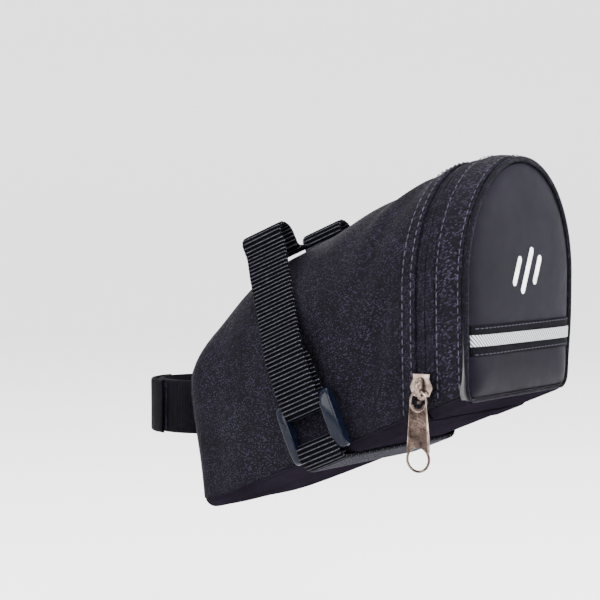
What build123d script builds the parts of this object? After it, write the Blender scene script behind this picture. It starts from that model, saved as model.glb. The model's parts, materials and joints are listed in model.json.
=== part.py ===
"""Saddle bag for a bicycle: a woven body with a zipped padded lid, held by two rail straps and a post strap.

Millimetres. +Z runs up along the seatpost, +Y is the way the bicycle goes, +X is its right side. The origin is
on the seatpost's axis, halfway up the post strap.
"""

import os
from math import cos, radians, sin, tan

from build123d import *

# Overall size of the bag
front_y = -20.5  # outer face of the front panel, behind the seatpost
knee_y = -38.0  # where the slanted nose meets the long top
zip_y = -132.0  # plane of the zip
rear_y = -148.0  # plane of the lid's rear seam
base_slope = 22.5  # degrees, the base falls towards the front
base_front_z = -42.0  # base at the front panel
front_half, knee_half, zip_half = 29.0, 34.0, 43.0
front_top, knee_top, zip_top = 30.0, 57.0, 102.0
front_rise, knee_rise, zip_rise = 18.0, 34.0, 46.0  # height of the arched part

# Cloth, foam and board
cloth = 1.2
lining_thick = 2.0
base_corner = 6.0
least_corner = 1.0
seam_up = 4.0  # how far the coated base turns up the sides
board_thick = 1.6
board_gap = 0.1

# Zip
tape_edge = 4.2  # from the zip plane to where a tape meets the cloth
half_gap = 0.8  # from the zip plane to each half of the coil
tape_thick = 0.8
coil_width = 1.6
coil_thick = 1.4
hinge_gap = 0.2
hem_width = 6.3
hem_thick = 0.8
stop_high, stop_thick = 1.2, 0.9
slider_above_stop = 0.4
lining_from_slider = 0.6

# Slider and pull
slider_long, slider_wide = 10.0, 10.0
plate_thick = 1.3
plate_lift = 1.2  # above the tape, clear of the hem
inner_clear = 0.2
neck_half = 0.4
neck_long = 2.4
neck_up = 0.6  # from the slider's low end
crown_wide, crown_high, crown_wall = 2.2, 3.4, 1.3
crown_inset = 1.2  # from each end of the slider
bar_radius = 0.55
bar_clear = 0.35
pull_long, pull_top_wide, pull_low_wide, pull_thick = 31.0, 7.6, 10.0, 1.1
pull_hole_radius = 4.1
pull_rim = 1.1
pull_ring_spare = 1.4  # room in the ring for the crown to swing

# Webbing straps
webbing_wide, webbing_thick = 20.0, 1.3
strap_y = -88.0  # where the straps cross the base
side_clear = 0.5
rail_radius = 3.5
rail_clear = 0.05
rail_x = 22.0
rail_up = 92.0  # from the base to the rail, along the strap plane
buckle_wide, buckle_long, buckle_thick = 25.6, 23.5, 4.4
bar_round = 1.4
bar_fit = 0.2
buckle_side = 2.5
buckle_low = 6.5  # lower bar above the base
bar_spacing = 15.5
tail_end = 43.0
patch_below_rail = 6.85  # from the rail's middle to the underside of the sewn end
patch_long = 8.0  # the strap's sewn end on the bag's top
patch_turn, shoulder_turn, side_turn, tail_turn, corner_turn = 2.0, 8.0, 30.0, 10.0, 6.0
base_strap_gap = 0.35
base_strap_end = 1.0

# Post strap
post_radius = 15.8
post_clear = 0.1
inner_layer = 2.6  # webbing with its pile backing
strap_layer = 1.3
strap_high = 22.0
hook_thick = 0.6
closure_gap = 0.35
flap_from, flap_to = 100.0, 165.0  # degrees round the post
patch_half = 22.0
patch_overlap = 0.6  # how deep the patch runs into the loop
loop_tape_trim = 3.0
loop_tape_from = 30.0  # degrees before the flap
hook_from, flap_root = 20.0, 24.0
hook_short = 8.0

# Rear panel
pad_clear, pad_round, pad_high = 0.2, 7.5, 3.2  # clear of the rolled edge
piping_out, piping_lap, piping_long = 1.0, 0.2, 2.2  # the lap is inside the cloth's inner face
panel_split_z = 34.0
ribbon_high, ribbon_thick = 11.4, 0.6
stripe_high, stripe_thick = 4.4, 0.3
foam_thick = 3.0
mark_z = 59.0
mark_bars = ((-8.0, 12.0), (0.0, 19.0), (8.0, 12.0))  # place and length of each slanted bar
mark_bar_wide, mark_thick, mark_lean = 3.0, 0.3, 25.0

pad_inset = cloth + piping_lap + pad_clear
base_drop = tan(radians(base_slope))
base_normal = (0, sin(radians(base_slope)), cos(radians(base_slope)))
up_slope = (0, -cos(radians(base_slope)), sin(radians(base_slope)))
zip_base_z = base_front_z + (front_y - zip_y) * base_drop
tape_low_z = zip_base_z + tape_edge * base_drop + seam_up / base_normal[2] + 0.2
slider_low_z = tape_low_z + stop_high + slider_above_stop

os.makedirs("parts", exist_ok=True)


def blend_between(y, near, far, near_y, far_y):
    """A size at y, between its values at two stations."""
    share = (y - near_y) / (far_y - near_y)
    return near + share * (far - near)


def sizes_at(y):
    """Half width, top and arch height of the bag at y. The lid goes on straight behind the zip."""
    if y > knee_y:
        stations = ((front_half, knee_half), (front_top, knee_top), (front_rise, knee_rise))
        return [blend_between(y, a, b, front_y, knee_y) for a, b in stations]
    if y > zip_y:
        stations = ((knee_half, zip_half), (knee_top, zip_top), (knee_rise, zip_rise))
        return [blend_between(y, a, b, knee_y, zip_y) for a, b in stations]
    return [zip_half, zip_top, zip_rise]


def arch_section(y, growth=0.0):
    """The bag's outline at y, grown outwards: a base with round corners, straight sides and an arched top."""
    half, top, rise = sizes_at(y)
    half, top, rise = half + growth, top + growth, rise + growth
    low = base_front_z + (front_y - y) * base_drop - growth
    corner = max(base_corner + growth, least_corner)
    spring = top - rise
    with BuildSketch(Plane(origin=(0, y, 0), x_dir=(1, 0, 0), z_dir=(0, -1, 0))) as section:
        with BuildLine():
            Line((-half + corner, low), (half - corner, low))
            CenterArc((half - corner, low + corner), corner, -90, 90)
            Line((half, low + corner), (half, spring))
            EllipticalCenterArc((0, spring), half, rise, start_angle=0, arc_size=180)
            Line((-half, spring), (-half, low + corner))
            CenterArc((-half + corner, low + corner), corner, 180, 90)
        make_face()
    return section.sketch


def stations_between(y_from, y_to):
    """The section planes from y_from back to y_to, with the knee where the span crosses it."""
    inner = [y for y in (knee_y, zip_y) if y_to < y < y_from]
    return [y_from, *inner, y_to]


def bag_core(y_from, y_to, growth):
    """The solid inside one growth of the bag's outline."""
    outlines = [arch_section(y, growth) for y in stations_between(y_from, y_to)]
    with BuildPart() as core:
        for front, back in zip(outlines, outlines[1:]):
            loft(sections=[front, back], ruled=True)
    return core.part


def bag_shell(y_from, y_to, outer, inner):
    """The space between two growths of the bag's outline, open at both ends."""
    outside, inside = bag_core(y_from, y_to, outer), bag_core(y_from, y_to, inner)
    with BuildPart() as shell:
        add(outside)
        add(inside, mode=Mode.SUBTRACT)
    return shell.part


def above_base(height):
    """A plane parallel to the base, this high above it."""
    point = (0, front_y, base_front_z + height / base_normal[2])
    return Plane(origin=point, x_dir=(1, 0, 0), z_dir=base_normal)


def level(z):
    """A level plane."""
    return Plane(origin=(0, 0, z), x_dir=(1, 0, 0), z_dir=(0, 0, 1))


def cut_between(solid, low=None, high=None):
    """The part of a solid above one plane and below another, or all of it."""
    with BuildPart() as kept:
        add(solid)
        if low:
            split(bisect_by=low, keep=Keep.TOP)
        if high:
            split(bisect_by=high, keep=Keep.BOTTOM)
    return kept


def finish(piece, name):
    """Labels a finished piece and writes it."""
    piece.part.label = name
    export_step(piece.part, f"parts/{name}.step")


seam_plane = above_base(seam_up)
wrap_end_y = zip_y + tape_edge
gusset_start_y = zip_y - tape_edge
lining_end_y = zip_y + slider_wide / 2 + lining_from_slider

# Bag body
body_wrap = cut_between(bag_shell(front_y, wrap_end_y, 0, -cloth), low=seam_plane)
finish(body_wrap, "body_wrap")

base_panel = cut_between(bag_shell(front_y, zip_y + hinge_gap, 0, -cloth), high=seam_plane)
finish(base_panel, "base_panel")

front_panel = cut_between(bag_core(front_y, front_y - cloth, -cloth))
finish(front_panel, "front_panel")

body_lining = cut_between(bag_shell(front_y - cloth, lining_end_y, -cloth, -cloth - lining_thick))
finish(body_lining, "body_lining")

inside = cloth + lining_thick
board_low, board_high = above_base(inside + board_gap), above_base(inside + board_gap + board_thick)
base_board = cut_between(bag_core(front_y - inside, lining_end_y, -inside), low=board_low, high=board_high)
finish(base_board, "base_board")

rim_binding = cut_between(bag_shell(wrap_end_y + hem_width, wrap_end_y, hem_thick, 0), low=seam_plane)
finish(rim_binding, "rim_binding")

hinge_shell = bag_shell(wrap_end_y + hem_width, zip_y + 2 * hinge_gap, hem_thick, 0)
hinge_strip = cut_between(hinge_shell, high=seam_plane)
finish(hinge_strip, "hinge_strip")


def zip_half_ring(name, y_from, y_to, outer, inner):
    """One half of the zip: a ring above the zip's lower ends."""
    finish(cut_between(bag_shell(y_from, y_to, outer, inner), low=level(tape_low_z)), name)


coil_in = -tape_thick - coil_thick
zip_half_ring("body_zip_tape", wrap_end_y, zip_y + half_gap, 0, -tape_thick)
zip_half_ring("body_coil", zip_y + half_gap + coil_width, zip_y + half_gap, -tape_thick, coil_in)
zip_half_ring("lid_zip_tape", zip_y - half_gap, gusset_start_y, 0, -tape_thick)
zip_half_ring("lid_coil", zip_y - half_gap, zip_y - half_gap - coil_width, -tape_thick, coil_in)

with BuildPart() as zip_stops:
    for side in (-1, 1):
        stop_x = side * (zip_half + stop_thick / 2)
        with Locations((stop_x, zip_y + half_gap + coil_width / 2, tape_low_z + stop_high / 2)):
            Box(stop_thick, coil_width, stop_high)
finish(zip_stops, "zip_stops")

# Lid
lid_gusset = cut_between(bag_shell(gusset_start_y, rear_y, 0, -cloth), low=seam_plane)
finish(lid_gusset, "lid_gusset")

lid_sole = cut_between(bag_shell(zip_y - hinge_gap, rear_y, 0, -cloth), high=seam_plane)
finish(lid_sole, "lid_sole")

lid_board = cut_between(bag_core(rear_y + board_thick, rear_y, -cloth))
finish(lid_board, "lid_board")

lid_foam = cut_between(bag_core(rear_y + board_thick + foam_thick, rear_y + board_thick, -cloth))
finish(lid_foam, "lid_foam")

piping_outline, piping_hole = arch_section(rear_y, piping_out), arch_section(rear_y, -cloth - piping_lap)
with BuildPart() as lid_piping:
    extrude(piping_outline, amount=piping_long)
    extrude(piping_hole, amount=piping_long, mode=Mode.SUBTRACT)
finish(lid_piping, "lid_piping")


def pad_solid(extra):
    """The puffed rear panel, thickened by extra: a low pillow on the rear plane."""
    crown_y = rear_y - pad_high - extra
    edge = arch_section(rear_y, -pad_inset)
    face = arch_section(crown_y, -pad_inset - pad_round + extra)
    with BuildPart() as pad:
        loft(sections=[edge, face], ruled=True)
    return pad.part


panel_split = level(panel_split_z)
rear_panel_upper = cut_between(pad_solid(0), low=panel_split)
finish(rear_panel_upper, "rear_panel_upper")

rear_panel_lower = cut_between(pad_solid(0), high=panel_split)
finish(rear_panel_lower, "rear_panel_lower")


def panel_band(name, extra, under, height):
    """A band laid across the rear panel over the layer under it."""
    over, below = pad_solid(extra), pad_solid(under)
    with BuildPart() as band:
        add(over)
        add(below, mode=Mode.SUBTRACT)
        split(bisect_by=level(panel_split_z - height / 2), keep=Keep.TOP)
        split(bisect_by=level(panel_split_z + height / 2), keep=Keep.BOTTOM)
    finish(band, name)


panel_band("rear_ribbon", ribbon_thick, 0, ribbon_high)
panel_band("reflective_stripe", ribbon_thick + stripe_thick, ribbon_thick, stripe_high)

mark_plane = Plane(origin=(0, rear_y - pad_high, mark_z), x_dir=(1, 0, 0), z_dir=(0, -1, 0))
with BuildPart() as panel_mark:
    with BuildSketch(mark_plane):
        for place, length in mark_bars:
            with Locations((place, 0)):
                SlotOverall(length, mark_bar_wide, rotation=90 - mark_lean)
    extrude(amount=mark_thick)
finish(panel_mark, "panel_mark")

# Slider: two plates, the neck between them and the crown that holds the pull
plate_out_x = -zip_half - plate_lift
plate_in_x = -sizes_at(zip_y + half_gap + coil_width)[0] - coil_in + inner_clear
slider_mid_z = slider_low_z + slider_long / 2
with BuildPart() as slider_body:
    outer_face = Plane(origin=(plate_out_x, zip_y, slider_mid_z), x_dir=(0, 1, 0), z_dir=(-1, 0, 0))
    inner_face = Plane(origin=(plate_in_x, zip_y, slider_mid_z), x_dir=(0, 1, 0), z_dir=(1, 0, 0))
    for face in (outer_face, inner_face):
        with BuildSketch(face) as slider_face:
            Rectangle(slider_wide, slider_long)
            fillet(slider_face.vertices(), radius=slider_wide / 4)
        extrude(amount=plate_thick)
    neck_x = (plate_out_x + plate_in_x) / 2
    with Locations((neck_x, zip_y, slider_low_z + neck_long / 2 + neck_up)):
        Box(plate_in_x - plate_out_x, 2 * neck_half, neck_long)
finish(slider_body, "slider_body")

crown_base_x = plate_out_x - plate_thick
crown_long = slider_long - 2 * crown_inset
crown_plane = Plane(origin=(crown_base_x, zip_y, slider_mid_z), x_dir=(0, 0, 1), z_dir=(0, -1, 0))
with BuildPart() as slider_crown:
    with BuildSketch(crown_plane):
        with Locations((0, crown_high / 2)):
            Rectangle(crown_long, crown_high)
            Rectangle(crown_long - 2 * crown_wall, crown_high - crown_wall, mode=Mode.SUBTRACT)
    extrude(amount=crown_wide / 2, both=True)
finish(slider_crown, "slider_crown")

bar_x = crown_base_x - crown_high / 2
bar_z = slider_mid_z - crown_long / 2 + crown_wall + bar_clear + bar_radius
crown_hole_deep = crown_wall + 2 * bar_clear + pull_ring_spare
pull_plane = Plane(origin=(bar_x, zip_y, bar_z), x_dir=(0, -1, 0), z_dir=(-1, 0, 0))
ring_side = pull_top_wide / 2
with BuildPart() as pull_tab:
    with BuildSketch(pull_plane):
        with BuildLine():
            Polyline(
                (-ring_side, bar_radius),
                (ring_side, bar_radius),
                (pull_low_wide / 2, -pull_long + pull_low_wide / 2),
                (-pull_low_wide / 2, -pull_long + pull_low_wide / 2),
                close=True,
            )
        make_face()
        with Locations((0, -pull_long + pull_low_wide / 2)):
            Circle(pull_low_wide / 2)
            Circle(pull_hole_radius, mode=Mode.SUBTRACT)
        with Locations((0, -bar_radius - crown_hole_deep)):
            SlotCenterToCenter(
                crown_hole_deep - bar_radius, pull_top_wide - 2 * pull_rim, rotation=90, mode=Mode.SUBTRACT
            )
    extrude(amount=pull_thick / 2, both=True)
finish(pull_tab, "pull_tab")

# Straps lie in a plane square to the base
strap_z = base_front_z + (front_y - strap_y) * base_drop
strap_plane = Plane(origin=(0, strap_y, strap_z), x_dir=(1, 0, 0), z_dir=up_slope)
side_x = sizes_at(strap_y - webbing_wide / 2)[0] + side_clear
turn = bar_round + bar_fit + webbing_thick / 2
inner_x = side_x + webbing_thick / 2
bar_line_x = inner_x + turn
outer_x = bar_line_x + turn
upper_bar = buckle_low + bar_spacing
tight = 0.999  # a turn's share of the room between its two runs


def webbing(points, radii):
    """A flat strap along a path of straight runs and arcs in the strap plane."""
    with BuildPart() as strap:
        with BuildLine(strap_plane) as route:
            FilletPolyline(*points, radius=radii)
        start = Plane(origin=route.line @ 0, x_dir=up_slope, z_dir=route.line % 0)
        with BuildSketch(start):
            Rectangle(webbing_wide, webbing_thick)
        sweep(path=route.line)
    return strap


def flip_x(points, side):
    """Mirrors points to one side of the bag."""
    return [(side * x, up) for x, up in points]


def rail_strap(side):
    """From a patch on the bag's top, over the rail, down the side and round the buckle's upper bar."""
    ring = rail_radius + rail_clear + webbing_thick / 2
    top = rail_up + ring
    patch_up = rail_up - patch_below_rail + webbing_thick / 2
    points = [
        (rail_x - ring - patch_long, patch_up),
        (rail_x - ring, patch_up),
        (rail_x - ring, top),
        (rail_x + ring, top),
        (rail_x + ring, rail_up - 4.0),
        (side_x + 3.0, tail_end + 3.0),
        (outer_x, upper_bar + 8.0),
        (outer_x, upper_bar - turn),
        (inner_x, upper_bar - turn),
        (inner_x, tail_end),
    ]
    over_rail, round_bar = tight * ring, tight * turn
    radii = [patch_turn, over_rail, over_rail, shoulder_turn, side_turn, tail_turn, round_bar, round_bar]
    return webbing(flip_x(points, side), radii)


def buckle(side):
    """A frame with two side rails and two round cross bars, set just outside the bag's side."""
    middle = (upper_bar + buckle_low) / 2
    with BuildPart() as frame:
        for rail_side in (-1, 1):
            offset_along = rail_side * (buckle_wide - buckle_side) / 2
            rail_face = strap_plane.offset(offset_along - buckle_side / 2)
            with BuildSketch(rail_face):
                with Locations((side * bar_line_x, middle)):
                    SlotOverall(buckle_long, buckle_thick, rotation=90)
            extrude(amount=buckle_side)
        for up in (buckle_low, upper_bar):
            with BuildSketch(strap_plane.offset(-buckle_wide / 2 + buckle_side / 2)):
                with Locations((side * bar_line_x, up)):
                    Circle(bar_round)
            extrude(amount=buckle_wide - buckle_side)
    return frame


for side, name in ((-1, "left"), (1, "right")):
    finish(rail_strap(side), f"rail_strap_{name}")
    finish(buckle(side), f"buckle_{name}")

under_up = -base_strap_gap - webbing_thick / 2
base_route = [
    (-inner_x, base_strap_end),
    (-inner_x, buckle_low + turn),
    (-outer_x, buckle_low + turn),
    (-outer_x, under_up),
]
far_side = [(-x, up) for x, up in reversed(base_route)]
bar_turn = tight * turn
base_radii = [bar_turn, bar_turn, corner_turn, corner_turn, bar_turn, bar_turn]
finish(webbing([*base_route, *far_side], base_radii), "base_strap")

# Post strap: an inner loop sewn to a patch on the front panel, a loop tape, and a hook flap that peels
inner_r = post_radius + post_clear
loop_r = inner_r + inner_layer
tape_r = loop_r + hook_thick
hook_r = tape_r + closure_gap
flap_r = hook_r + hook_thick
low_face = Plane.XY.offset(-strap_high / 2)


def ring_part(inner, outer, start, size, height=strap_high):
    """An upright arc of a ring round the post."""
    with BuildPart() as arc:
        with BuildSketch(Plane.XY.offset(-height / 2)):
            with BuildLine():
                far_arc = CenterArc((0, 0), outer, start, size)
                near_arc = CenterArc((0, 0), inner, start, size)
                Line(near_arc @ 0, far_arc @ 0)
                Line(near_arc @ 1, far_arc @ 1)
            make_face()
        extrude(amount=height)
    return arc


patch_front = -loop_r + patch_overlap
with BuildPart() as post_strap:
    with BuildSketch(low_face):
        Circle(loop_r)
        with Locations((0, (front_y + patch_front) / 2)):
            Rectangle(2 * patch_half, patch_front - front_y)
        Circle(inner_r, mode=Mode.SUBTRACT)
    extrude(amount=strap_high)
finish(post_strap, "post_strap")

tape_high = strap_high - loop_tape_trim
tape_start, hook_start, flap_start = flap_from - loop_tape_from, flap_from - hook_from, flap_from - flap_root
finish(ring_part(loop_r, tape_r, tape_start, flap_to - tape_start, tape_high), "strap_loop_tape")
hook_turn = flap_to - hook_short - hook_start
finish(ring_part(hook_r, flap_r, hook_start, hook_turn, tape_high), "strap_hook_patch")
finish(ring_part(flap_r, flap_r + strap_layer, flap_start, flap_to - flap_start), "post_strap_flap")
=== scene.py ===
"""Saddle bag: woven body, padded zipped lid, straps, buckles and slider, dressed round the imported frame.

Lengths inside the classes are in millimetres and become metres when a mesh is made. +Z runs up along the
seatpost, +Y is forwards and +X is the right side.
"""

import json
import logging
import math
from dataclasses import dataclass, field
from enum import Enum
from functools import lru_cache
from typing import Callable, Sequence

import bmesh
import bpy
from mathutils import Matrix, Vector, noise
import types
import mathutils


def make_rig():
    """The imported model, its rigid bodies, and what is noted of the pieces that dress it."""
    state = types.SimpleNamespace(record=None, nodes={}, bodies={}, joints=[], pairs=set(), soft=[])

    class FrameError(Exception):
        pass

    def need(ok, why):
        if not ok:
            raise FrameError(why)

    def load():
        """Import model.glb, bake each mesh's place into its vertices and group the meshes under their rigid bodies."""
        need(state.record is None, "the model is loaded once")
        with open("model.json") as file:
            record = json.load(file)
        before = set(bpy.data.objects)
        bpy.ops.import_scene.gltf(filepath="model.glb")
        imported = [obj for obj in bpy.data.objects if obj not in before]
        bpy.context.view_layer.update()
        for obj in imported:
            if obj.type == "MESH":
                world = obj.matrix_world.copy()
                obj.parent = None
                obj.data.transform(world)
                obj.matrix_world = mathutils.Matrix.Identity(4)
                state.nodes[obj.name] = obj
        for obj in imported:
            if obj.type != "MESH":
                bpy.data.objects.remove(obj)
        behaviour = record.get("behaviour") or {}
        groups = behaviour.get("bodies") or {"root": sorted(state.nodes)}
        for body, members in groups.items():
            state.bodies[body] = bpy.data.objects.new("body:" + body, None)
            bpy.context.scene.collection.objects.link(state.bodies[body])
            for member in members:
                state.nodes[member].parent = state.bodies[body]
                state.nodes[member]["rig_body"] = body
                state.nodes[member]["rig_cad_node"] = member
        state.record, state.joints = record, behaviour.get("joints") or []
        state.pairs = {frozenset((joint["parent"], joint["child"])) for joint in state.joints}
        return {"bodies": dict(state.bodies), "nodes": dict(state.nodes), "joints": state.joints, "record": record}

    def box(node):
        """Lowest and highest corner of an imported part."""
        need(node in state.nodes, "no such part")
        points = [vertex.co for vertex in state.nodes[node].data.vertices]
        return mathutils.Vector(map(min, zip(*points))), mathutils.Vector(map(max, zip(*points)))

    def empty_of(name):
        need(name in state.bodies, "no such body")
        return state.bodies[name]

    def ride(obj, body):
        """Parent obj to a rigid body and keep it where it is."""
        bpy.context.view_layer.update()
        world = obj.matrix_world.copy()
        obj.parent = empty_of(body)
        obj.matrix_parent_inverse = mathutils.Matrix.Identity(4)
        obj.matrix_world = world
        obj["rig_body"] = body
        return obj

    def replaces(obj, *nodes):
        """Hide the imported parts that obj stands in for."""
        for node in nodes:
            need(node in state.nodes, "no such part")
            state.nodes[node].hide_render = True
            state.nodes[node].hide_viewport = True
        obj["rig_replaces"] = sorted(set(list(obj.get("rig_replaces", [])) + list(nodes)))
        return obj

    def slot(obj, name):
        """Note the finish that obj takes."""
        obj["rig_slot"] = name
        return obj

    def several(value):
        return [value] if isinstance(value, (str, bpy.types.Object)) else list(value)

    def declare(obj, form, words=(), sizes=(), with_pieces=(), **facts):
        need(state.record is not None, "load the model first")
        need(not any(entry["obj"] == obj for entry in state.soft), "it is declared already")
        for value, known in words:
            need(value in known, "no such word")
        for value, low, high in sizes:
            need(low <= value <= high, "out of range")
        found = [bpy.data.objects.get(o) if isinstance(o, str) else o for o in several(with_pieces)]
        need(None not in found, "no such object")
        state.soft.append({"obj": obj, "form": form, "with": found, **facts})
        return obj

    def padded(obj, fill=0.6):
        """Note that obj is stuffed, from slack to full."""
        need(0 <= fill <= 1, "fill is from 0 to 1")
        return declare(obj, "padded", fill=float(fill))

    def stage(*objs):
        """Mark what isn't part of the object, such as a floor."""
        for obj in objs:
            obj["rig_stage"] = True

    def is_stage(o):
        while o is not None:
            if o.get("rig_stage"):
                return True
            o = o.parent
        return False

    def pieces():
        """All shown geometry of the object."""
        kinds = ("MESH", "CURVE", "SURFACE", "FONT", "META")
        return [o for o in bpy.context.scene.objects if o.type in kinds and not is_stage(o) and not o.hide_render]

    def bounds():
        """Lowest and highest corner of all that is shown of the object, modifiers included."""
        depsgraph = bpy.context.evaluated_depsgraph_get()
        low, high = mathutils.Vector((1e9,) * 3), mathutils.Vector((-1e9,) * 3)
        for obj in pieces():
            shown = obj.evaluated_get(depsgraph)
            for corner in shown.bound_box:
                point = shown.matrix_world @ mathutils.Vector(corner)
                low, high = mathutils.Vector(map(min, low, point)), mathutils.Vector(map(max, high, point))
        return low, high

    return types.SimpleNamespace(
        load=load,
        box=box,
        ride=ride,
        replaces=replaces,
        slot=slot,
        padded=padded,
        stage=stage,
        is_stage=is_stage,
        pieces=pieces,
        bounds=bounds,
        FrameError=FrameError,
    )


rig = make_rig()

MM = 0.001
LAY = "lay"  # attribute: where a point lies along and across the cloth, in millimetres
log = logging.getLogger("saddle_bag")

Point = tuple[float, float, float]


class Body(Enum):
    """The bodies of the frame that pieces ride on."""

    BAG = "root"
    LID = "lid"
    SLIDER = "slider"
    PULL = "pull"
    FLAP = "post_flap"


class Side(Enum):
    """Which side of the bag a strap or buckle is on."""

    LEFT = -1
    RIGHT = 1


# ---------------------------------------------------------------- finishes


class ShaderSheet:
    """A material's node tree with short calls to add and join nodes."""

    def __init__(self, name: str, colour: Sequence[float], roughness: float) -> None:
        """Starts a material.

        Args:
            name: the material's name.
            colour: base colour, linear.
            roughness: base roughness.
        """
        self.material = bpy.data.materials.new(name)
        self.material.use_nodes = True
        self.tree = self.material.node_tree
        self.shader = self.tree.nodes["Principled BSDF"]
        self.shader.inputs["Base Color"].default_value = (*colour, 1.0)
        self.shader.inputs["Roughness"].default_value = roughness
        self.material.diffuse_color = (*colour, 1.0)

    def node(self, kind: str, **values: object) -> bpy.types.Node:
        """Adds a node.

        Args:
            kind: the node's type without its ShaderNode prefix.
            values: input sockets by name, with spaces as underscores.

        Returns:
            The new node.
        """
        made = self.tree.nodes.new("ShaderNode" + kind)
        for key, value in values.items():
            socket = made.inputs.get(key.replace("_", " "))
            if isinstance(value, bpy.types.NodeSocket):
                self.tree.links.new(value, socket)
            else:
                socket.default_value = value
        return made

    def lay(self) -> bpy.types.NodeSocket:
        """The position along and across the cloth, in millimetres."""
        made = self.tree.nodes.new("ShaderNodeAttribute")
        made.attribute_name = LAY
        return made.outputs["Vector"]

    def place(self) -> bpy.types.NodeSocket:
        """The position in the object's own space, in metres."""
        return self.tree.nodes.new("ShaderNodeTexCoord").outputs["Object"]

    def grain(self, where: bpy.types.NodeSocket, scale: float, detail: float = 3.0) -> bpy.types.NodeSocket:
        """A noise factor.

        Args:
            where: the coordinates.
            scale: the noise's scale.
            detail: its octaves.

        Returns:
            The factor's socket.
        """
        return self.node("TexNoise", Vector=where, Scale=scale, Detail=detail).outputs["Fac"]

    def maths(self, operation: str, first: object, second: object = 0.0) -> bpy.types.NodeSocket:
        """A maths node.

        Args:
            operation: the node's operation.
            first: a socket or number.
            second: a socket or number.

        Returns:
            The result's socket.
        """
        made = self.tree.nodes.new("ShaderNodeMath")
        made.operation = operation
        for socket, value in zip(made.inputs, (first, second)):
            if isinstance(value, bpy.types.NodeSocket):
                self.tree.links.new(value, socket)
            else:
                socket.default_value = value
        return made.outputs[0]

    def ramp(self, factor: bpy.types.NodeSocket,
             stops: Sequence[tuple[float, Sequence[float]]]) -> bpy.types.NodeSocket:
        """A colour ramp.

        Args:
            factor: what drives it.
            stops: places and linear colours.

        Returns:
            The colour's socket.
        """
        made = self.node("ValToRGB", Fac=factor)
        elements = made.color_ramp.elements
        while len(elements) < len(stops):
            elements.new(0.5)
        for element, (place, colour) in zip(elements, stops):
            element.position = place
            element.color = (*colour, 1.0)
        return made.outputs["Color"]

    def range(self, factor: bpy.types.NodeSocket, low: float, high: float) -> bpy.types.NodeSocket:
        """Maps a 0 to 1 factor to a range.

        Args:
            factor: the factor.
            low: result at 0.
            high: result at 1.

        Returns:
            The result's socket.
        """
        made = self.node("MapRange", Value=factor, To_Min=low, To_Max=high)
        return made.outputs["Result"]

    def colour(self, socket: bpy.types.NodeSocket) -> None:
        """Feeds the base colour."""
        self.tree.links.new(socket, self.shader.inputs["Base Color"])

    def roughness(self, socket: bpy.types.NodeSocket) -> None:
        """Feeds the roughness."""
        self.tree.links.new(socket, self.shader.inputs["Roughness"])

    def bump(self, *layers: tuple[bpy.types.NodeSocket, float, float]) -> None:
        """Feeds the normal from stacked bumps.

        Args:
            layers: height socket, strength and distance in metres of each.
        """
        under = None
        for height, strength, distance in layers:
            made = self.node("Bump", Height=height, Strength=strength, Distance=distance)
            if under is not None:
                self.tree.links.new(under, made.inputs["Normal"])
            under = made.outputs["Normal"]
        self.tree.links.new(under, self.shader.inputs["Normal"])

    def fixed(self, **values: object) -> None:
        """Sets constant sockets on the shader itself."""
        for key, value in values.items():
            self.shader.inputs[key.replace("_", " ")].default_value = value


@dataclass(frozen=True)
class WovenCloth:
    """Black woven polyester: bricks of thread that catch the light one by one.

    Attributes:
        name: the material's name.
        thread_long: length of one float of thread, mm.
        thread_wide: its width, mm.
        dark: colour in the hollows.
        light: colour of the brightest threads.
        lift: height of the weave, metres.
    """

    name: str = "woven_polyester"
    thread_long: float = 0.7
    thread_wide: float = 0.45
    dark: tuple[float, float, float] = (0.0006, 0.0005, 0.001)
    light: tuple[float, float, float] = (0.024, 0.02, 0.037)
    lift: float = 0.00016

    def material(self) -> bpy.types.Material:
        """Makes the material."""
        sheet = ShaderSheet(self.name, self.light, 0.72)
        lay = sheet.lay()
        drift = sheet.node("TexNoise", Vector=lay, Scale=0.2, Detail=1.0)
        wander = sheet.node("VectorMath")
        wander.operation = "MULTIPLY_ADD"
        sheet.tree.links.new(drift.outputs["Color"], wander.inputs[0])
        wander.inputs[1].default_value = (0.5, 0.35, 0.0)
        sheet.tree.links.new(lay, wander.inputs[2])
        bricks = sheet.node(
            "TexBrick",
            Vector=wander.outputs[0],
            Scale=1.0,
            Mortar_Size=0.09,
            Mortar_Smooth=0.6,
            Brick_Width=self.thread_long,
            Row_Height=self.thread_wide,
            Color1=(0.5, 0.5, 0.5, 1.0),
            Color2=(1.0, 1.0, 1.0, 1.0),
            Mortar=(0.0, 0.0, 0.0, 1.0),
        )
        blotch = sheet.grain(lay, 0.06, 4.0)
        lit = sheet.maths("MULTIPLY", bricks.outputs["Color"], sheet.range(blotch, 0.85, 1.12))
        middle = tuple((a + b) * 0.085 for a, b in zip(self.dark, self.light))
        sheet.colour(sheet.ramp(lit,
                                ((0.0, self.dark), (0.5, middle), (0.82, tuple(2.0 * c for c in middle)),
                                 (1.0, self.light))))
        sheet.roughness(sheet.range(lit, 0.85, 0.55))
        height = sheet.maths("SUBTRACT", 1.0, bricks.outputs["Fac"])
        sheet.bump((height, 0.9, self.lift), (sheet.grain(lay, 0.35, 3.0), 0.35, 0.0005))
        sheet.fixed(Specular_IOR_Level=0.05)
        return sheet.material


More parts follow.
